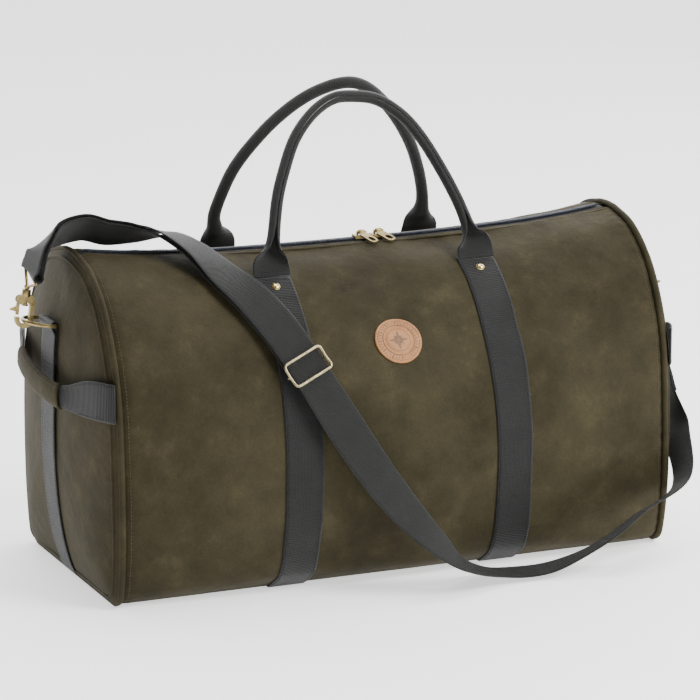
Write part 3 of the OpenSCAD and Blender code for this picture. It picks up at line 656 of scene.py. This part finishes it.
def seam_stitches():
    shape = Shape()
    for side in (-1, 1):
        for end in (-1, 1):
            spots = [skin(end * 291.5, s / 16, 0.35, side) for s in range(3, LAST * 16 - 3)]
            stitch_spots(shape, spots, 3.6, 2.5, 0.36)
    for side in (-1, 1):
        for s in (9.80, 9.32):
            spots = [skin(x * 2.0, s, 0.3, side) for x in range(-146, 147)]
            stitch_spots(shape, spots, 3.4, 2.3, 0.34)
    shape.make("canvas_stitching", thread_brown, "bag", "canvas")


def base():
    shape = Shape()
    xs = [x * 4.0 for x in range(-74, 75)]
    ys = [y * BASE_HALF_W / 18 for y in range(-18, 19)]

    def height(x, y):
        over = max(bell(x - band_middle(loop, 0), 22) ** 0.3 for loop in (LEFT_LOOP, RIGHT_LOOP))
        rise = 1.55 * clamp01(over * 1.6)
        edge = 1.4 * ease((abs(y) - BASE_HALF_W + 12) / 12) + 1.4 * ease((abs(x) - 286) / 10)
        return min(BASE_Z + 0.2, 0.35 + rise + edge + 0.2 * noise.noise(Vector((x / 40, y / 40, 6))) + 0.1)

    shape.grid([[Vector((x, y, height(x, y))) for y in ys] for x in xs])
    thicken(shape.make("base_canvas", canvas, "bag", "canvas", ["base_panel"]), 1.3)


# ---------------------------------------------------------------- zip
def zip_tape(name, side, node):
    shape = Shape()
    rows = []
    for i in range(-146, 147):
        x = i * 2.0
        top = skin(x, LAST, 0, side)[0]
        wave = 0.25 * noise.noise(Vector((x / 25, side, 2)))
        rows.append([Vector((x, side * y, top.z + z + wave)) for y, z in
                     ((20, -6.2), (14, -3.4), (10, -2.4), (7, -1.3), (4, -0.5), (1.6, -0.3), (0.7, -0.4))])
    shape.grid(rows)
    thicken(shape.make(name, tape_cloth, "bag", "zip_tape", [node]), 0.6)


def zip_coil(name, side, node):
    """One half of the interlocked coil: a loop of nylon every pitch."""
    shape = Shape()
    pitch, reach = 2.5, 3.3
    x = -286.0 + (0 if side < 0 else pitch / 2)
    while x < 286:
        z = skin(x, LAST, 0, side)[0].z + 1.1
        loop = [Vector((x - 0.25, side * reach, z - 0.9)), Vector((x - 0.2, side * (reach - 0.5), z + 0.35)),
                Vector((x, side * 0.9, z + 0.75)), Vector((x + 0.05, -side * 0.35, z + 0.35)),
                Vector((x + 0.15, -side * 0.2, z - 0.6))]
        tube(shape, loop, 0.8, 6, flat_dir=ALONG)
        x += pitch
    ys = (2.0, 2.6)
    for y in ys:
        row = [Vector((i * 3.0, side * y, skin(i * 3.0, LAST, 0, side)[0].z + 1.75)) for i in range(-95, 96)]
        tube(shape, row, 0.28, 5)
    shape.make(name, coil_nylon, "bag", "zip_coil", [node])


# ---------------------------------------------------------------- carry loops
def loop_stations(loop, side):
    steps = [0.0] + [0.15 + k * (HANDLE_SEAM + 0.05 - 0.15) / 90 for k in range(91)]
    return [(s, band_middle(loop, s, side)) for s in steps]


def carry_loop(name, loop, node):
    shape = Shape()
    rows, at, total = [], [], 0.0
    route = [[(s, x, side) for s, x in loop_stations(loop, side)] for side in (-1, 1)]
    under = [y * 10.0 for y in range(-11, 12)]
    stations = list(reversed(route[0])) + [("base", y) for y in under] + route[1]
    previous = None
    for st in stations:
        row = []
        for u, h in BAND_SECTION:
            if st[0] == "base":
                x = band_middle(loop, 0) + u * WEB_W
                p = Vector((x, st[1], 0.95 + h * 1.2))
            else:
                s, middle, side = st
                crown = 0.35 * (1 - (2 * u) ** 2)
                p = skin(middle + u * WEB_W, s, 0.35 + WEB_T / 2 + crown + h * WEB_T, side)[0]
                if s < 0.15:
                    p.z = max(0.3, p.z)
            row.append(p)
        middle_point = row[BAND_COLUMNS // 2]
        total += (middle_point - previous).length if previous else 0
        previous = middle_point
        rows.append(row)
        at.append(total)
    shape.grid(rows, lambda i, j: (BAND_SECTION[j][0] * WEB_W + 20, at[i]), wrap=True, cap=True)
    shape.make(name, band_web, "bag", "webbing", [node])


def loop_stitches():
    shape = Shape()
    for loop in (LEFT_LOOP, RIGHT_LOOP):
        for side in (-1, 1):
            for u in (-17.2, 17.2):
                spots = [skin(band_middle(loop, s / 12, side) + u, s / 12, 2.35, side)
                         for s in range(4, HANDLE_SEAM * 12)]
                stitch_spots(shape, spots, 3.4, 2.4, 0.36)
            for s in (7.86, 7.30):
                spots = [skin(band_middle(loop, s, side) - 17 + k * 2.0, s, 2.45, side) for k in range(18)]
                stitch_spots(shape, spots, 2.8, 2.0, 0.42)
    shape.make("loop_stitching", thread_black, "bag", "webbing")


RIVET_STEP = 7.62


def rivets():
    """Domed brass heads just below the handle seams, each with a rolled rim."""
    shape = Shape()
    profile = ((0.05, 2.5), (1.2, 2.42), (2.4, 2.1), (3.4, 1.5), (4.2, 0.75), (4.65, 0.35),
               (4.7, -0.1), (4.5, -0.9))
    for loop in (LEFT_LOOP, RIGHT_LOOP):
        for side in (-1, 1):
            centre, n = skin(band_middle(loop, RIVET_STEP, side), RIVET_STEP, 2.3, side)
            across = n.cross(ALONG)
            rows = [[centre + n * h + (ALONG * math.cos(a) + across * math.sin(a)) * r
                     for a in [TAU * k / 32 for k in range(32)]] for r, h in profile]
            shape.grid(rows, wrap=True)
    shape.make("loop_rivets", rivet_brass, "bag", "rivet_brass", ["handle_rivets"])


# ---------------------------------------------------------------- top handles
FRONT_PATH = [(-108.5, -65, 309.4), (-108.5, -59, 319), (-107, -57, 327), (-105.5, -56, 336),
              (-103, -55, 350), (-95, -45, 384), (-84, -37, 412), (-69, -28, 441), (-47, -21, 464),
              (-23, -17, 477),
              (-1, -17, 478), (26, -18, 473), (52, -24, 455), (71, -31, 431), (89, -41, 398),
              (102, -50, 369), (109, -54, 350), (113, -56, 336), (116, -57, 327), (117.5, -59, 319),
              (117.5, -65, 309.4)]
BACK_PATH = [(-120, 65, 309.4), (-120, 59, 319), (-121.5, 57, 327), (-123.5, 56, 336), (-125, 55, 350),
             (-120, 50, 370), (-109, 41, 400), (-90, 32, 428), (-66, 24, 454), (-35, 17, 476),
             (2, 14, 487), (31, 17, 479), (63, 26, 449), (87, 36, 414), (100, 45, 385), (106, 50, 366),
             (109, 53, 350), (109.5, 56, 336), (109, 57, 327), (109, 59, 319), (109, 65, 309.4)]
TUBE_R = 5.5
FULL_CURL = 352.0
CURL = [(0, 5), (6, 16), (12, 42), (18, 88), (24, 170), (30, 260), (40, 325), (54, FULL_CURL)]
CURL_COLUMNS = 26


def handle_frame(path, i, outward):
    """Directions across a handle's width and out of its face at station i."""
    t = tangent(path, i)
    b = t.cross(outward).normalized()
    return b, b.cross(t)


def rolled_handle(name, path, out_y, body, nodes):
    """Webbing sewn flat at both ends and rolled edge to edge into a tube between them."""
    path = relax(resample(path, 170), 6, 12)
    at = lengths(path)
    lean = Vector((0, path[85].y - path[12].y, path[85].z - path[12].z)).normalized()
    outward = lean.cross(ALONG * out_y).normalized()
    rows = []
    for i, p in enumerate(path):
        b, o = handle_frame(path, i, outward)
        near_end = min(at[i], at[-1] - at[i])
        curl = table_at(CURL, near_end)
        wide = lerp(WEB_W, TUBE_R * math.radians(FULL_CURL), ease((near_end - 6) / 34))
        curl = math.radians(curl)
        r = wide / curl
        centre = p + o * (TUBE_R * min(1, curl / math.pi))
        ring = []
        for sign in (1, -1):
            rr = r + sign * WEB_T / 2
            steps = range(CURL_COLUMNS, -1, -1) if sign > 0 else range(CURL_COLUMNS + 1)
            for k in steps:
                a = (k / CURL_COLUMNS - 0.5) * curl
                crease = 0.3 * noise.noise(Vector((at[i] / 9, a * 1.5, out_y * 3)))
                crease *= ease((70 - near_end) / 40)
                ring.append(centre + b * (rr * math.sin(a)) + o * (rr * math.cos(a) - r + crease))
        rows.append(ring)
    shape = Shape()
    n = CURL_COLUMNS

    def cut(i, j):
        k = n - j if j <= n else j - n - 1
        return (k / n * WEB_W, at[i])

    shape.grid(rows, cut, wrap=True, cap=True)
    shape.make(name, handle_web, body, "webbing", [nodes])
    thread = Shape()
    for edge in (-1, 1):
        line, normals = [], []
        for i in range(34, 136):
            b, o = handle_frame(path, i, outward)
            a = math.radians(edge * 150)
            n_out = b * math.sin(a) + o * math.cos(a)
            line.append(path[i] + o * TUBE_R + n_out * (TUBE_R + WEB_T / 2 + 0.1) - o * TUBE_R)
            normals.append(n_out)
        stitches(thread, line, normals, 3.6, 2.5, 0.36)
    for low in (1.6, 4.2):
        for start, step in ((0, 1), (len(path) - 1, -1)):
            i = start
            while min(at[i], at[-1] - at[i]) < low:
                i += step
            o = tangent(path, i).cross(outward).cross(tangent(path, i))
            line = [path[i] + ALONG * (u * 2.2) - o * (WEB_T / 2 + 0.2) for u in range(-8, 9)]
            stitches(thread, line, [-o] * len(line), 2.9, 2.1, 0.42)
    thread.make(name + "_stitching", thread_black, body, "webbing")


# ---------------------------------------------------------------- leather patch
PATCH_X, PATCH_STEP, PATCH_R = 3.0, 5.84, 25.5
PATCH_UP = 1 / 47.0


def on_patch(a, b, out):
    """(point, normal) over the front at a right and b up from the patch's middle, in mm."""
    return skin(PATCH_X + a, PATCH_STEP + b * PATCH_UP, out)


def circle_point(r, share, out):
    """(point, normal) on a circle about the patch's middle, at this share of a turn."""
    return on_patch(r * math.cos(TAU * share), r * math.sin(TAU * share), out)


def turned(x, y, a):
    return x * math.cos(a) - y * math.sin(a), x * math.sin(a) + y * math.cos(a)


def disc(shape, profile, around=96):
    """A round plate over the front, from (radius, height) pairs."""
    shape.grid([[circle_point(r, k / around, h)[0] for k in range(around)] for r, h in profile], wrap=True)


def patch():
    shape = Shape()
    disc(shape, [(PATCH_R - 0.6, 0.1), (PATCH_R, 0.6), (PATCH_R, 1.5), (PATCH_R - 0.5, 2.0),
                 (PATCH_R - 1.4, 2.15), (23.2, 2.05), (22.6, 1.85), (22.0, 2.05), (17.8, 2.1),
                 (17.3, 1.8), (16.9, 1.8), (16.4, 2.1),
                 (15.6, 2.1), (15.2, 1.9), (14.8, 2.1), (9, 2.15), (4, 2.15), (0.3, 2.15)])
    shape.faces.append(tuple(range(len(shape.points) - 96, len(shape.points))))
    shape.make("leather_disc", leather, "bag", "leather", ["leather_patch"])
    thread = Shape()
    stitch_spots(thread, [circle_point(22.6, k / 120, 2.15) for k in range(121)], 2.9, 2.0, 0.42)
    thread.make("patch_stitching", leather_burnt, "bag", "leather")
    mark = Shape()

    def raised(outline_points):
        rows = [[on_patch(a, b, h)[0] for a, b in outline_points] for h in (2.0, 2.28)]
        mark.grid(rows, wrap=True, cap=True)

    for k in range(8):
        turn = TAU * k / 8
        tip = 10.6 if k % 2 == 0 else 6.6
        for hand in (-1, 1):
            points = [(0.35, 0.0), (2.6, hand * 1.9), (tip, 0.0)]
            raised([turned(x, y + hand * 0.16, turn) for x, y in points])
    for k in range(36):
        turn = TAU * k / 36
        inner, outer = 18.5, (21.0 if k % 3 else 21.4)
        wide = 0.34 if k % 3 else 0.7
        raised([turned(x, y, turn)
                for x, y in ((inner, -wide), (outer, -wide), (outer, wide), (inner, wide))])
    for r, wide in ((17.1, 0.28), (12.6, 0.22)):
        rows = [[circle_point(r + d, k / 72, h)[0] for k in range(72)]
                for d, h in ((-wide, 1.9), (-wide, 2.24), (wide, 2.24), (wide, 1.9))]
        mark.grid(rows, wrap=True)
    mark.make("patch_compass", leather_burnt, "bag", "leather", flat=True)


# ---------------------------------------------------------------- end webbing and grab handles
DRING_X, DRING_Z, DRING_FOLD = 325.4, 268.0, 3.15


def end_webbing(name, side_x, node):
    shape = Shape()
    outer = []
    for z in [6 + 4.5 * k for k in range(57)]:
        away = 1.5 + 2.2 * ease((z - 196) / 50)
        outer.append((dome_x(z) + away + 0.5 * noise.noise(Vector((z / 40, side_x, 8))), z))
    top = outer[-1]
    reach = DRING_X + DRING_FOLD
    for f in (0.35, 0.7):
        outer.append((lerp(top[0], reach, f), lerp(top[1], DRING_Z - 1, f)))
    fold = [(DRING_X + DRING_FOLD * math.cos(a), DRING_Z + DRING_FOLD * math.sin(a))
            for a in [math.radians(k * 20) for k in range(0, 10)]]
    inner = [(DRING_X - DRING_FOLD + 0.3, DRING_Z - 3), (DRING_X - DRING_FOLD + 0.1, DRING_Z - 8),
             (dome_x(250) + 1.3, 250), (dome_x(240) + 1.3, 240), (dome_x(228) + 1.2, 228)]
    path = [Vector((side_x * x, 0, z)) for x, z in outer + fold + inner]
    band(shape, path, [Vector((0, 1, 0))] * len(path))
    shape.make(name, band_web, "bag", "webbing", [node])
    thread = Shape()
    for y in (-17, 17):
        line = [Vector((side_x * (x + 0.95), y, z)) for x, z in outer[2:52]]
        stitches(thread, line, [ALONG * side_x] * len(line), 3.5, 2.5, 0.36)
    for z in (226, 254):
        x = next(px for px, pz in outer if pz >= z) + 0.95
        line = [Vector((side_x * x, y * 2.0, z)) for y in range(-8, 9)]
        stitches(thread, line, [ALONG * side_x] * len(line), 3.0, 2.2, 0.4)
    thread.make(name + "_stitching", thread_black, "bag", "webbing")


# A grab handle's centre line from front to back on the right end, as (x, y, z), and its width there
GRAB = [(304.4, -138, 213, 40), (308.6, -132, 213, 40), (312.4, -124, 213, 40), (315.6, -116, 212.5, 40),
        (320.5, -100, 211, 38), (325, -85, 208.5, 33), (329, -73, 206.5, 28), (331.5, -66, 206, 25),
        (335, -50, 206, 21.5), (338, -28, 208, 20), (339, 0, 211, 20), (338, 28, 215, 20),
        (335, 50, 218, 21.5), (331.5, 66, 219, 25), (329, 73, 219, 28), (325, 85, 219, 33),
        (320.5, 100, 218, 38),
        (315.6, 116, 215.5, 40), (312.4, 124, 214, 40), (308.6, 132, 213, 40), (304.4, 138, 213, 40)]


def grab_handle(prefix, side_x):
    widths = [w for _, _, _, w in GRAB]
    n = 96
    path = resample([(side_x * x, y, z) for x, y, z, _ in GRAB], n)
    wide = [catmull(widths, i * (len(widths) - 1) / n) for i in range(n + 1)]
    normals = []
    for i in range(n + 1):
        t = tangent(path, i)
        out = t.cross(UP).normalized()
        normals.append(out if out.x * side_x > 0 else -out)
    shape = Shape()
    rows, at = [], lengths(path)
    for i in range(n + 1):
        squeeze = ease((40 - wide[i]) / 12)
        row = []
        for u, h in BAND_SECTION:
            cup = 2.2 * squeeze * (4 * u * u) * wide[i] / 40
            row.append(path[i] + UP * (wide[i] * u) + normals[i] * (h * 2.0 - cup + 1.0))
        rows.append(row)
    shape.grid(rows, lambda i, j: (BAND_SECTION[j][0] * wide[i] + 20, at[i]), wrap=True, cap=True)
    body = prefix + "_grip"
    web = shape.make(prefix + "_grab_webbing", band_web, None, "webbing",
                     [prefix + "_grab_handle", prefix + "_grab_tails"])
    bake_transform(web)
    thread = Shape()
    tail = [i for i in range(n + 1) if path[i].y < -78]
    for mirror in (1, -1):
        for edge in (-0.43, 0.43):
            out = [Vector((normals[i].x, normals[i].y * mirror, 0)) for i in tail]
            line = [Vector((path[i].x, path[i].y * mirror, 0))
                    + UP * (path[i if mirror > 0 else n - i].z + wide[i] * edge) + o * 2.2
                    for i, o in zip(tail, out)]
            stitches(thread, line, out, 3.2, 2.3, 0.36)
    web_thread = thread.make(prefix + "_grab_stitching", thread_black, None, "webbing")
    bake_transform(web_thread)
    sleeve(prefix, path, normals, body)


def sleeve(prefix, path, normals, body):
    """Canvas sleeve round the middle of a grab handle, its edges sewn together along the bottom."""
    inside = [i for i in range(len(path)) if -62 <= path[i].y <= 62]
    shape, thread = Shape(), Shape()
    sides = 26
    rows, lines = [], [[], []]
    last = len(inside) - 1
    for j, i in enumerate(inside):
        end = min(j, last - j)
        grow = 0.8 * bell(end, 1.6)
        row = []
        for k in range(sides):
            a = TAU * k / sides
            across, out = math.sin(a), math.cos(a)
            lump = 0.5 * noise.noise(Vector((path[i].y / 9, a, 3)))
            tall = 12.4 + grow + lump
            thick = 5.0 * abs(out) ** 0.8 * (1 if out > 0 else -1)
            row.append(path[i] + UP * (tall * math.copysign(abs(across) ** 0.85, across) - 0.5)
                       + normals[i] * (thick + 1.0 + lump * out))
        rows.append(row)
        for m, edge in enumerate((-0.74, 0.74)):
            lines[m].append(path[i] + UP * (12.4 * edge) + normals[i] * 4.6)
    inner = [[lerp_to(row, p, 0.78) for p in row] for row in (rows[0], rows[-1])]
    rows = [inner[0]] + rows + [inner[1]]
    shape.grid(rows, wrap=True)
    shape.make(prefix + "_grab_sleeve", canvas, body, "canvas", [prefix + "_grab_wrap"])
    for line in lines:
        stitches(thread, line, [normals[i] for i in inside], 3.4, 2.4, 0.38)
    for j in (1, last - 1):
        c, out = path[inside[j]], normals[inside[j]]
        line = [c + UP * u + out * (6.2 - abs(u) * 0.16) for u in range(-9, 10, 2)]
        stitches(thread, line, [out] * len(line), 3.0, 2.2, 0.38)
    thread.make(prefix + "_sleeve_stitching", thread_brown, body, "canvas")


def lerp_to(row, p, f):
    """Point p drawn in towards the middle of its row."""
    middle = sum(row, Vector()) / len(row)
    return middle + (p - middle) * f


# ---------------------------------------------------------------- shoulder strap
# The strap's route from the left eye over the front to the right eye: (point, direction of its width)
STRAP_ROUTE = [
    ((-343, -6, 331), (0, 94, 34)), ((-336, -5, 347), (-7, 97, -20)),
    ((-314, 8, 356), (14, 75, -65)), ((-283, 13, 360), (20, 66, -72)),
    ((-257, 12, 353), (18, 66, -70)), ((-231, 8, 351), (28, 74, -56)),
    ((-212, -2, 352), (42, 82, -34)), ((-196, -16, 349), (50, 86, -6)),
    ((-179, -40, 337), (60, 78, 10)), ((-163, -67, 318), (76, 58, 28)),
    ((-146, -94, 300), (84, 36, 40)), ((-128, -119, 275), (88, 20, 43)),
    ((-113, -140, 248), (88, 20, 43)), ((-98, -156, 219), (88, 20, 43)),
    ((-81, -168, 187), (88, 8, 46)), ((-61, -177, 152), (88, 8, 45)),
    ((-38, -188, 115), (88, 22, 38)), ((-13, -199, 81), (82, 42, 32)),
    ((12, -207, 54), (74, 60, 5)), ((42, -204, 29), (58, 78, -18)),
    ((78, -190, 11), (35, 92, -14)), ((110, -186, 5), (30, 95, -3)),
    ((146, -189, 7), (27, 96, -4)), ((184, -194, 20), (27, 94, -18)),
    ((214, -199, 37), (18, 94, -28)), ((249, -187, 52), (5, 90, -42)),
    ((309, -163, 73), (8, 92, -36)), ((335, -102, 110), (5, 97, 15)),
    ((344, -56, 145), (8, 98, 10)), ((350, -20, 172), (4, 99, 4)),
    ((352, -4, 188), (0, 100, 0)), ((352, 0, 201), (0, 100, 0))]
STRAP_STEPS = 10
# Station of the adjuster, counted in strap steps
ADJUSTER_AT = 125
# How far the return layer hangs under the strap, and how far the fold reaches past the left eye
RETURN_DROP = 5.8 - WEB_T / 2
STRAP_REACH = 7.5


def strap_stations():
    centres = resample([c for c, _ in STRAP_ROUTE], (len(STRAP_ROUTE) - 1) * STRAP_STEPS)
    across = resample([w for _, w in STRAP_ROUTE], (len(STRAP_ROUTE) - 1) * STRAP_STEPS)
    out = []
    for i, (c, w) in enumerate(zip(centres, across)):
        t = tangent(centres, i)
        square = ease(min(i, len(centres) - 1 - i) / STRAP_STEPS)
        w = w.normalized()
        a = (w - t * w.dot(t) * square).normalized()
        out.append((c, a, t.cross(a).normalized()))
    return out


def half_turn(start, away, normal, radius, steps=7):
    """Points of a fold round a bar: it starts at start, bulges along away and ends 2 radius along normal."""
    turns = [math.pi * k / steps for k in range(1, steps)]
    return [start + normal * (radius * (1 - math.cos(a))) + away * (radius * math.sin(a)) for a in turns]


def strap():
    stations = strap_stations()
    mid = WEB_T / 2
    last = len(stations) - 4
    path, across = [], []

    def add(points, a):
        path.extend(points)
        across.extend([a] * len(points))

    # Tail folded back behind the right eye, then the whole length to the left eye
    tail = 30
    fold_r = 2.3
    for i in range(last - tail, last + 1):
        c, a, n = stations[i]
        shut = ease((last - i) / 8)
        add([c + n * (mid - lerp(2 * fold_r, WEB_T + 0.25, shut))], a)
    c, a, n = stations[last]
    away = tangent([s[0] for s in stations], last)
    add(half_turn(c + n * (mid - 2 * fold_r), away, n, fold_r), a)
    for i in range(last, -1, -1):
        c, a, n = stations[i]
        add([c + n * mid], a)
    c, a, n = stations[0]
    away = -tangent([s[0] for s in stations], 0)
    near = RETURN_DROP / 2 + mid / 2
    reach = c + away * STRAP_REACH
    add([c.lerp(reach, 0.5) + n * mid, reach + n * mid], a)
    add(half_turn(reach + n * mid, away, -n, near), a)
    add([reach - n * RETURN_DROP, c.lerp(reach, 0.5) - n * RETURN_DROP], a)
    for i in range(ADJUSTER_AT + 1):
        c, a, n = stations[i]
        drop = lerp(RETURN_DROP, 3.4, ease(i / 30))
        if i >= ADJUSTER_AT - 14:
            drop = lerp(3.4, 5.2, ease((i - ADJUSTER_AT + 14) / 14))
        add([c - n * drop], a)
    shape = Shape()
    band(shape, path, across)
    piece = shape.make("strap_webbing", strap_web, "strap", "webbing", ["shoulder_strap", "strap_return"])
    total = lengths(path)[-1] * MM
    thread = Shape()
    for i0 in (last - tail + 3, last - tail + 12):
        c, a, n = stations[i0]
        line = [c + a * (u * 2.0) + n * (WEB_T + 0.1) for u in range(-9, 10)]
        stitches(thread, line, [n] * len(line), 3.0, 2.3, 0.42)
    sewn = thread.make("strap_stitching", thread_black, "strap", "webbing")
    return stations


def rounded_loop(corners, radius, steps=6):
    """Closed path through corners, each turned with a small radius."""
    out = []
    count = len(corners)
    for i, c in enumerate(corners):
        before, after = corners[i - 1], corners[(i + 1) % count]
        a = c + (before - c).normalized() * radius
        b = c + (after - c).normalized() * radius
        out += [a.lerp(c, f).lerp(c.lerp(b, f), f) for f in [k / steps for k in range(steps + 1)]]
    return out


def adjuster(stations):
    c, a, n = stations[ADJUSTER_AT]
    t = tangent([s[0] for s in stations], ADJUSTER_AT)
    half, reach, over, under = 22.5, 12.5, WEB_T + 2.4, -2.3
    corners = [c + a * (half * u) + t * (reach * v) + n * over
               for u, v in ((1, 1), (-1, 1), (-1, -1), (1, -1))]
    shape = Shape()
    loop = rounded_loop(corners, 4.5)
    fine = []
    for p, q in zip(loop, loop[1:] + loop[:1]):
        fine += [p, p.lerp(q, 0.5)]
    bent = []
    for p in fine:
        d = (p - c).dot(t)
        side = abs((p - c).dot(a))
        dip = 1.6 * ease((side - 18) / 4) * bell(d, 5.5)
        bent.append(p - n * dip)
    tube(shape, bent, 1.5, 12, closed=True, flat_dir=n)
    bar = [c + a * u + n * h for u, h in
           ((half - 0.4, over - 2.0), (half - 0.8, 0.2), (half - 1.6, under), (0, under),
            (1.6 - half, under), (0.8 - half, 0.2), (0.4 - half, over - 2.0))]
    tube(shape, resample(bar, 36), 1.45, 12, flat_dir=t)
    for place, sign in ((6, -1), (-7, 1)):
        joint = c + t * (reach * sign) + n * over + a * place
        tube(shape, [joint - a * 0.7, joint + a * 0.7], 1.72, 12, flat_dir=n)
    shape.make("adjuster_frame", bright_brass, "adjuster", "bright_brass", ["strap_adjuster"])


# ---------------------------------------------------------------- carried-over CAD nodes
METAL_WORDS = ("dring", "swivel", "hook", "trigger", "slider", "puller", "stops")
SOFTENED_WORDS = ("hook", "trigger", "slider", "puller")
WELD_GAP, EDGE_WIDTH = 0.00001, 0.00028


def dress_nodes():
    """Materials for the CAD nodes that stay, and softened edges on the metal ones."""
    for name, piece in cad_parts.items():
        if "lining" in name:
            material = lining_cloth
        elif name == "base_board":
            material = board_fibre
        elif "handle_core" in name:
            material = cord_cotton
        elif any(word in name for word in METAL_WORDS):
            material = antique_brass
        else:
            continue
        piece.data.materials.clear()
        piece.data.materials.append(material)
        if any(word in name for word in SOFTENED_WORDS) and "pin" not in name:
            weld = piece.modifiers.new("weld", "WELD")
            weld.merge_threshold = WELD_GAP
            soften = piece.modifiers.new("soften", "BEVEL")
            soften.width = EDGE_WIDTH
            soften.segments = 2
            soften.limit_method = "ANGLE"
            soften.angle_limit = math.radians(35)


# ---------------------------------------------------------------- studio
# Direction of the brightest part of the studio's walls
WHITE_SWEEP = (0.39, 0.90, -0.20)
# The walls' strength: (facing from, facing to, strength there, strength there)
WALL_RANGE = (0.0, 0.85, 0.3, 5.5)
FLOOR_HALF = 12.0
# Name, place, size and power of each light
LIGHTS = (("key", (1.5, -1.9, 2.2), 1.6, 120), ("top", (0.2, 0.1, 2.7), 1.6, 40),
          ("rim", (1.9, 1.6, 1.5), 1.2, 14))


def studio():
    mesh = bpy.data.meshes.new("floor")
    mesh.from_pydata([(FLOOR_HALF * x, FLOOR_HALF * y, 0) for x, y in ((-1, -1), (1, -1), (1, 1), (-1, 1))],
                     [], [(0, 1, 2, 3)])
    n = Nodes("floor_paper")
    n.colour(n.ramp(n.noise(n.place(), 3, 2), [(0.3, (0.90, 0.90, 0.895)), (0.7, (0.92, 0.92, 0.915))]))
    n.fix(Roughness=0.9, Emission_Color=(1.0, 1.0, 1.0, 1), Emission_Strength=1.0)
    mesh.materials.append(n.material)
    floor = bpy.data.objects.new("floor", mesh)
    bpy.context.scene.collection.objects.link(floor)
    world = bpy.data.worlds.new("studio")
    bpy.context.scene.world = world
    world.use_nodes = True
    tree = world.node_tree
    sky = tree.nodes["Background"]
    sky.inputs[0].default_value = (1.0, 1.0, 1.0, 1)
    where = tree.nodes.new("ShaderNodeTexCoord")
    facing = tree.nodes.new("ShaderNodeVectorMath")
    facing.operation = "DOT_PRODUCT"
    facing.inputs[1].default_value = WHITE_SWEEP
    spread = tree.nodes.new("ShaderNodeMapRange")
    for socket, value in zip(spread.inputs[1:5], WALL_RANGE):
        socket.default_value = value
    tree.links.new(where.outputs["Generated"], facing.inputs[0])
    tree.links.new(facing.outputs["Value"], spread.inputs[0])
    tree.links.new(spread.outputs[0], sky.inputs[1])
    target = Vector((0, 0, 0.2))
    for name, place, size, power in LIGHTS:
        light = bpy.data.objects.new(name, bpy.data.lights.new(name, "AREA"))
        light.data.shape = "DISK"
        light.data.size = size
        light.data.energy = power
        light.location = place
        light.rotation_mode = "QUATERNION"
        light.rotation_quaternion = (target - Vector(place)).to_track_quat("-Z", "Y")
        bpy.context.scene.collection.objects.link(light)


# ---------------------------------------------------------------- build
strap_line = strap()
adjuster(strap_line)
side_panel("front_canvas", -1, "front_panel")
side_panel("back_canvas", 1, "back_panel")
for prefix, side_x in (("left", -1), ("right", 1)):
    end_panel(prefix + "_end_canvas", side_x, prefix + "_end_panel")
    piping(prefix + "_end_piping", side_x, prefix + "_piping")
    end_webbing(prefix + "_dring_webbing", side_x, prefix + "_end_webbing")
    grab_handle(prefix, side_x)
base()
seam_stitches()
zip_tape("front_tape", -1, "front_zip_tape")
zip_tape("back_tape", 1, "back_zip_tape")
zip_coil("front_coil", -1, "front_zip_coil")
zip_coil("back_coil", 1, "back_zip_coil")
carry_loop("left_loop_webbing", LEFT_LOOP, "left_carry_loop")
carry_loop("right_loop_webbing", RIGHT_LOOP, "right_carry_loop")
loop_stitches()
rivets()
rolled_handle("front_handle_webbing", FRONT_PATH, 1, "front_handle", "front_handle")
rolled_handle("back_handle_webbing", BACK_PATH, -1, "back_handle", "back_handle")
patch()
dress_nodes()
studio()
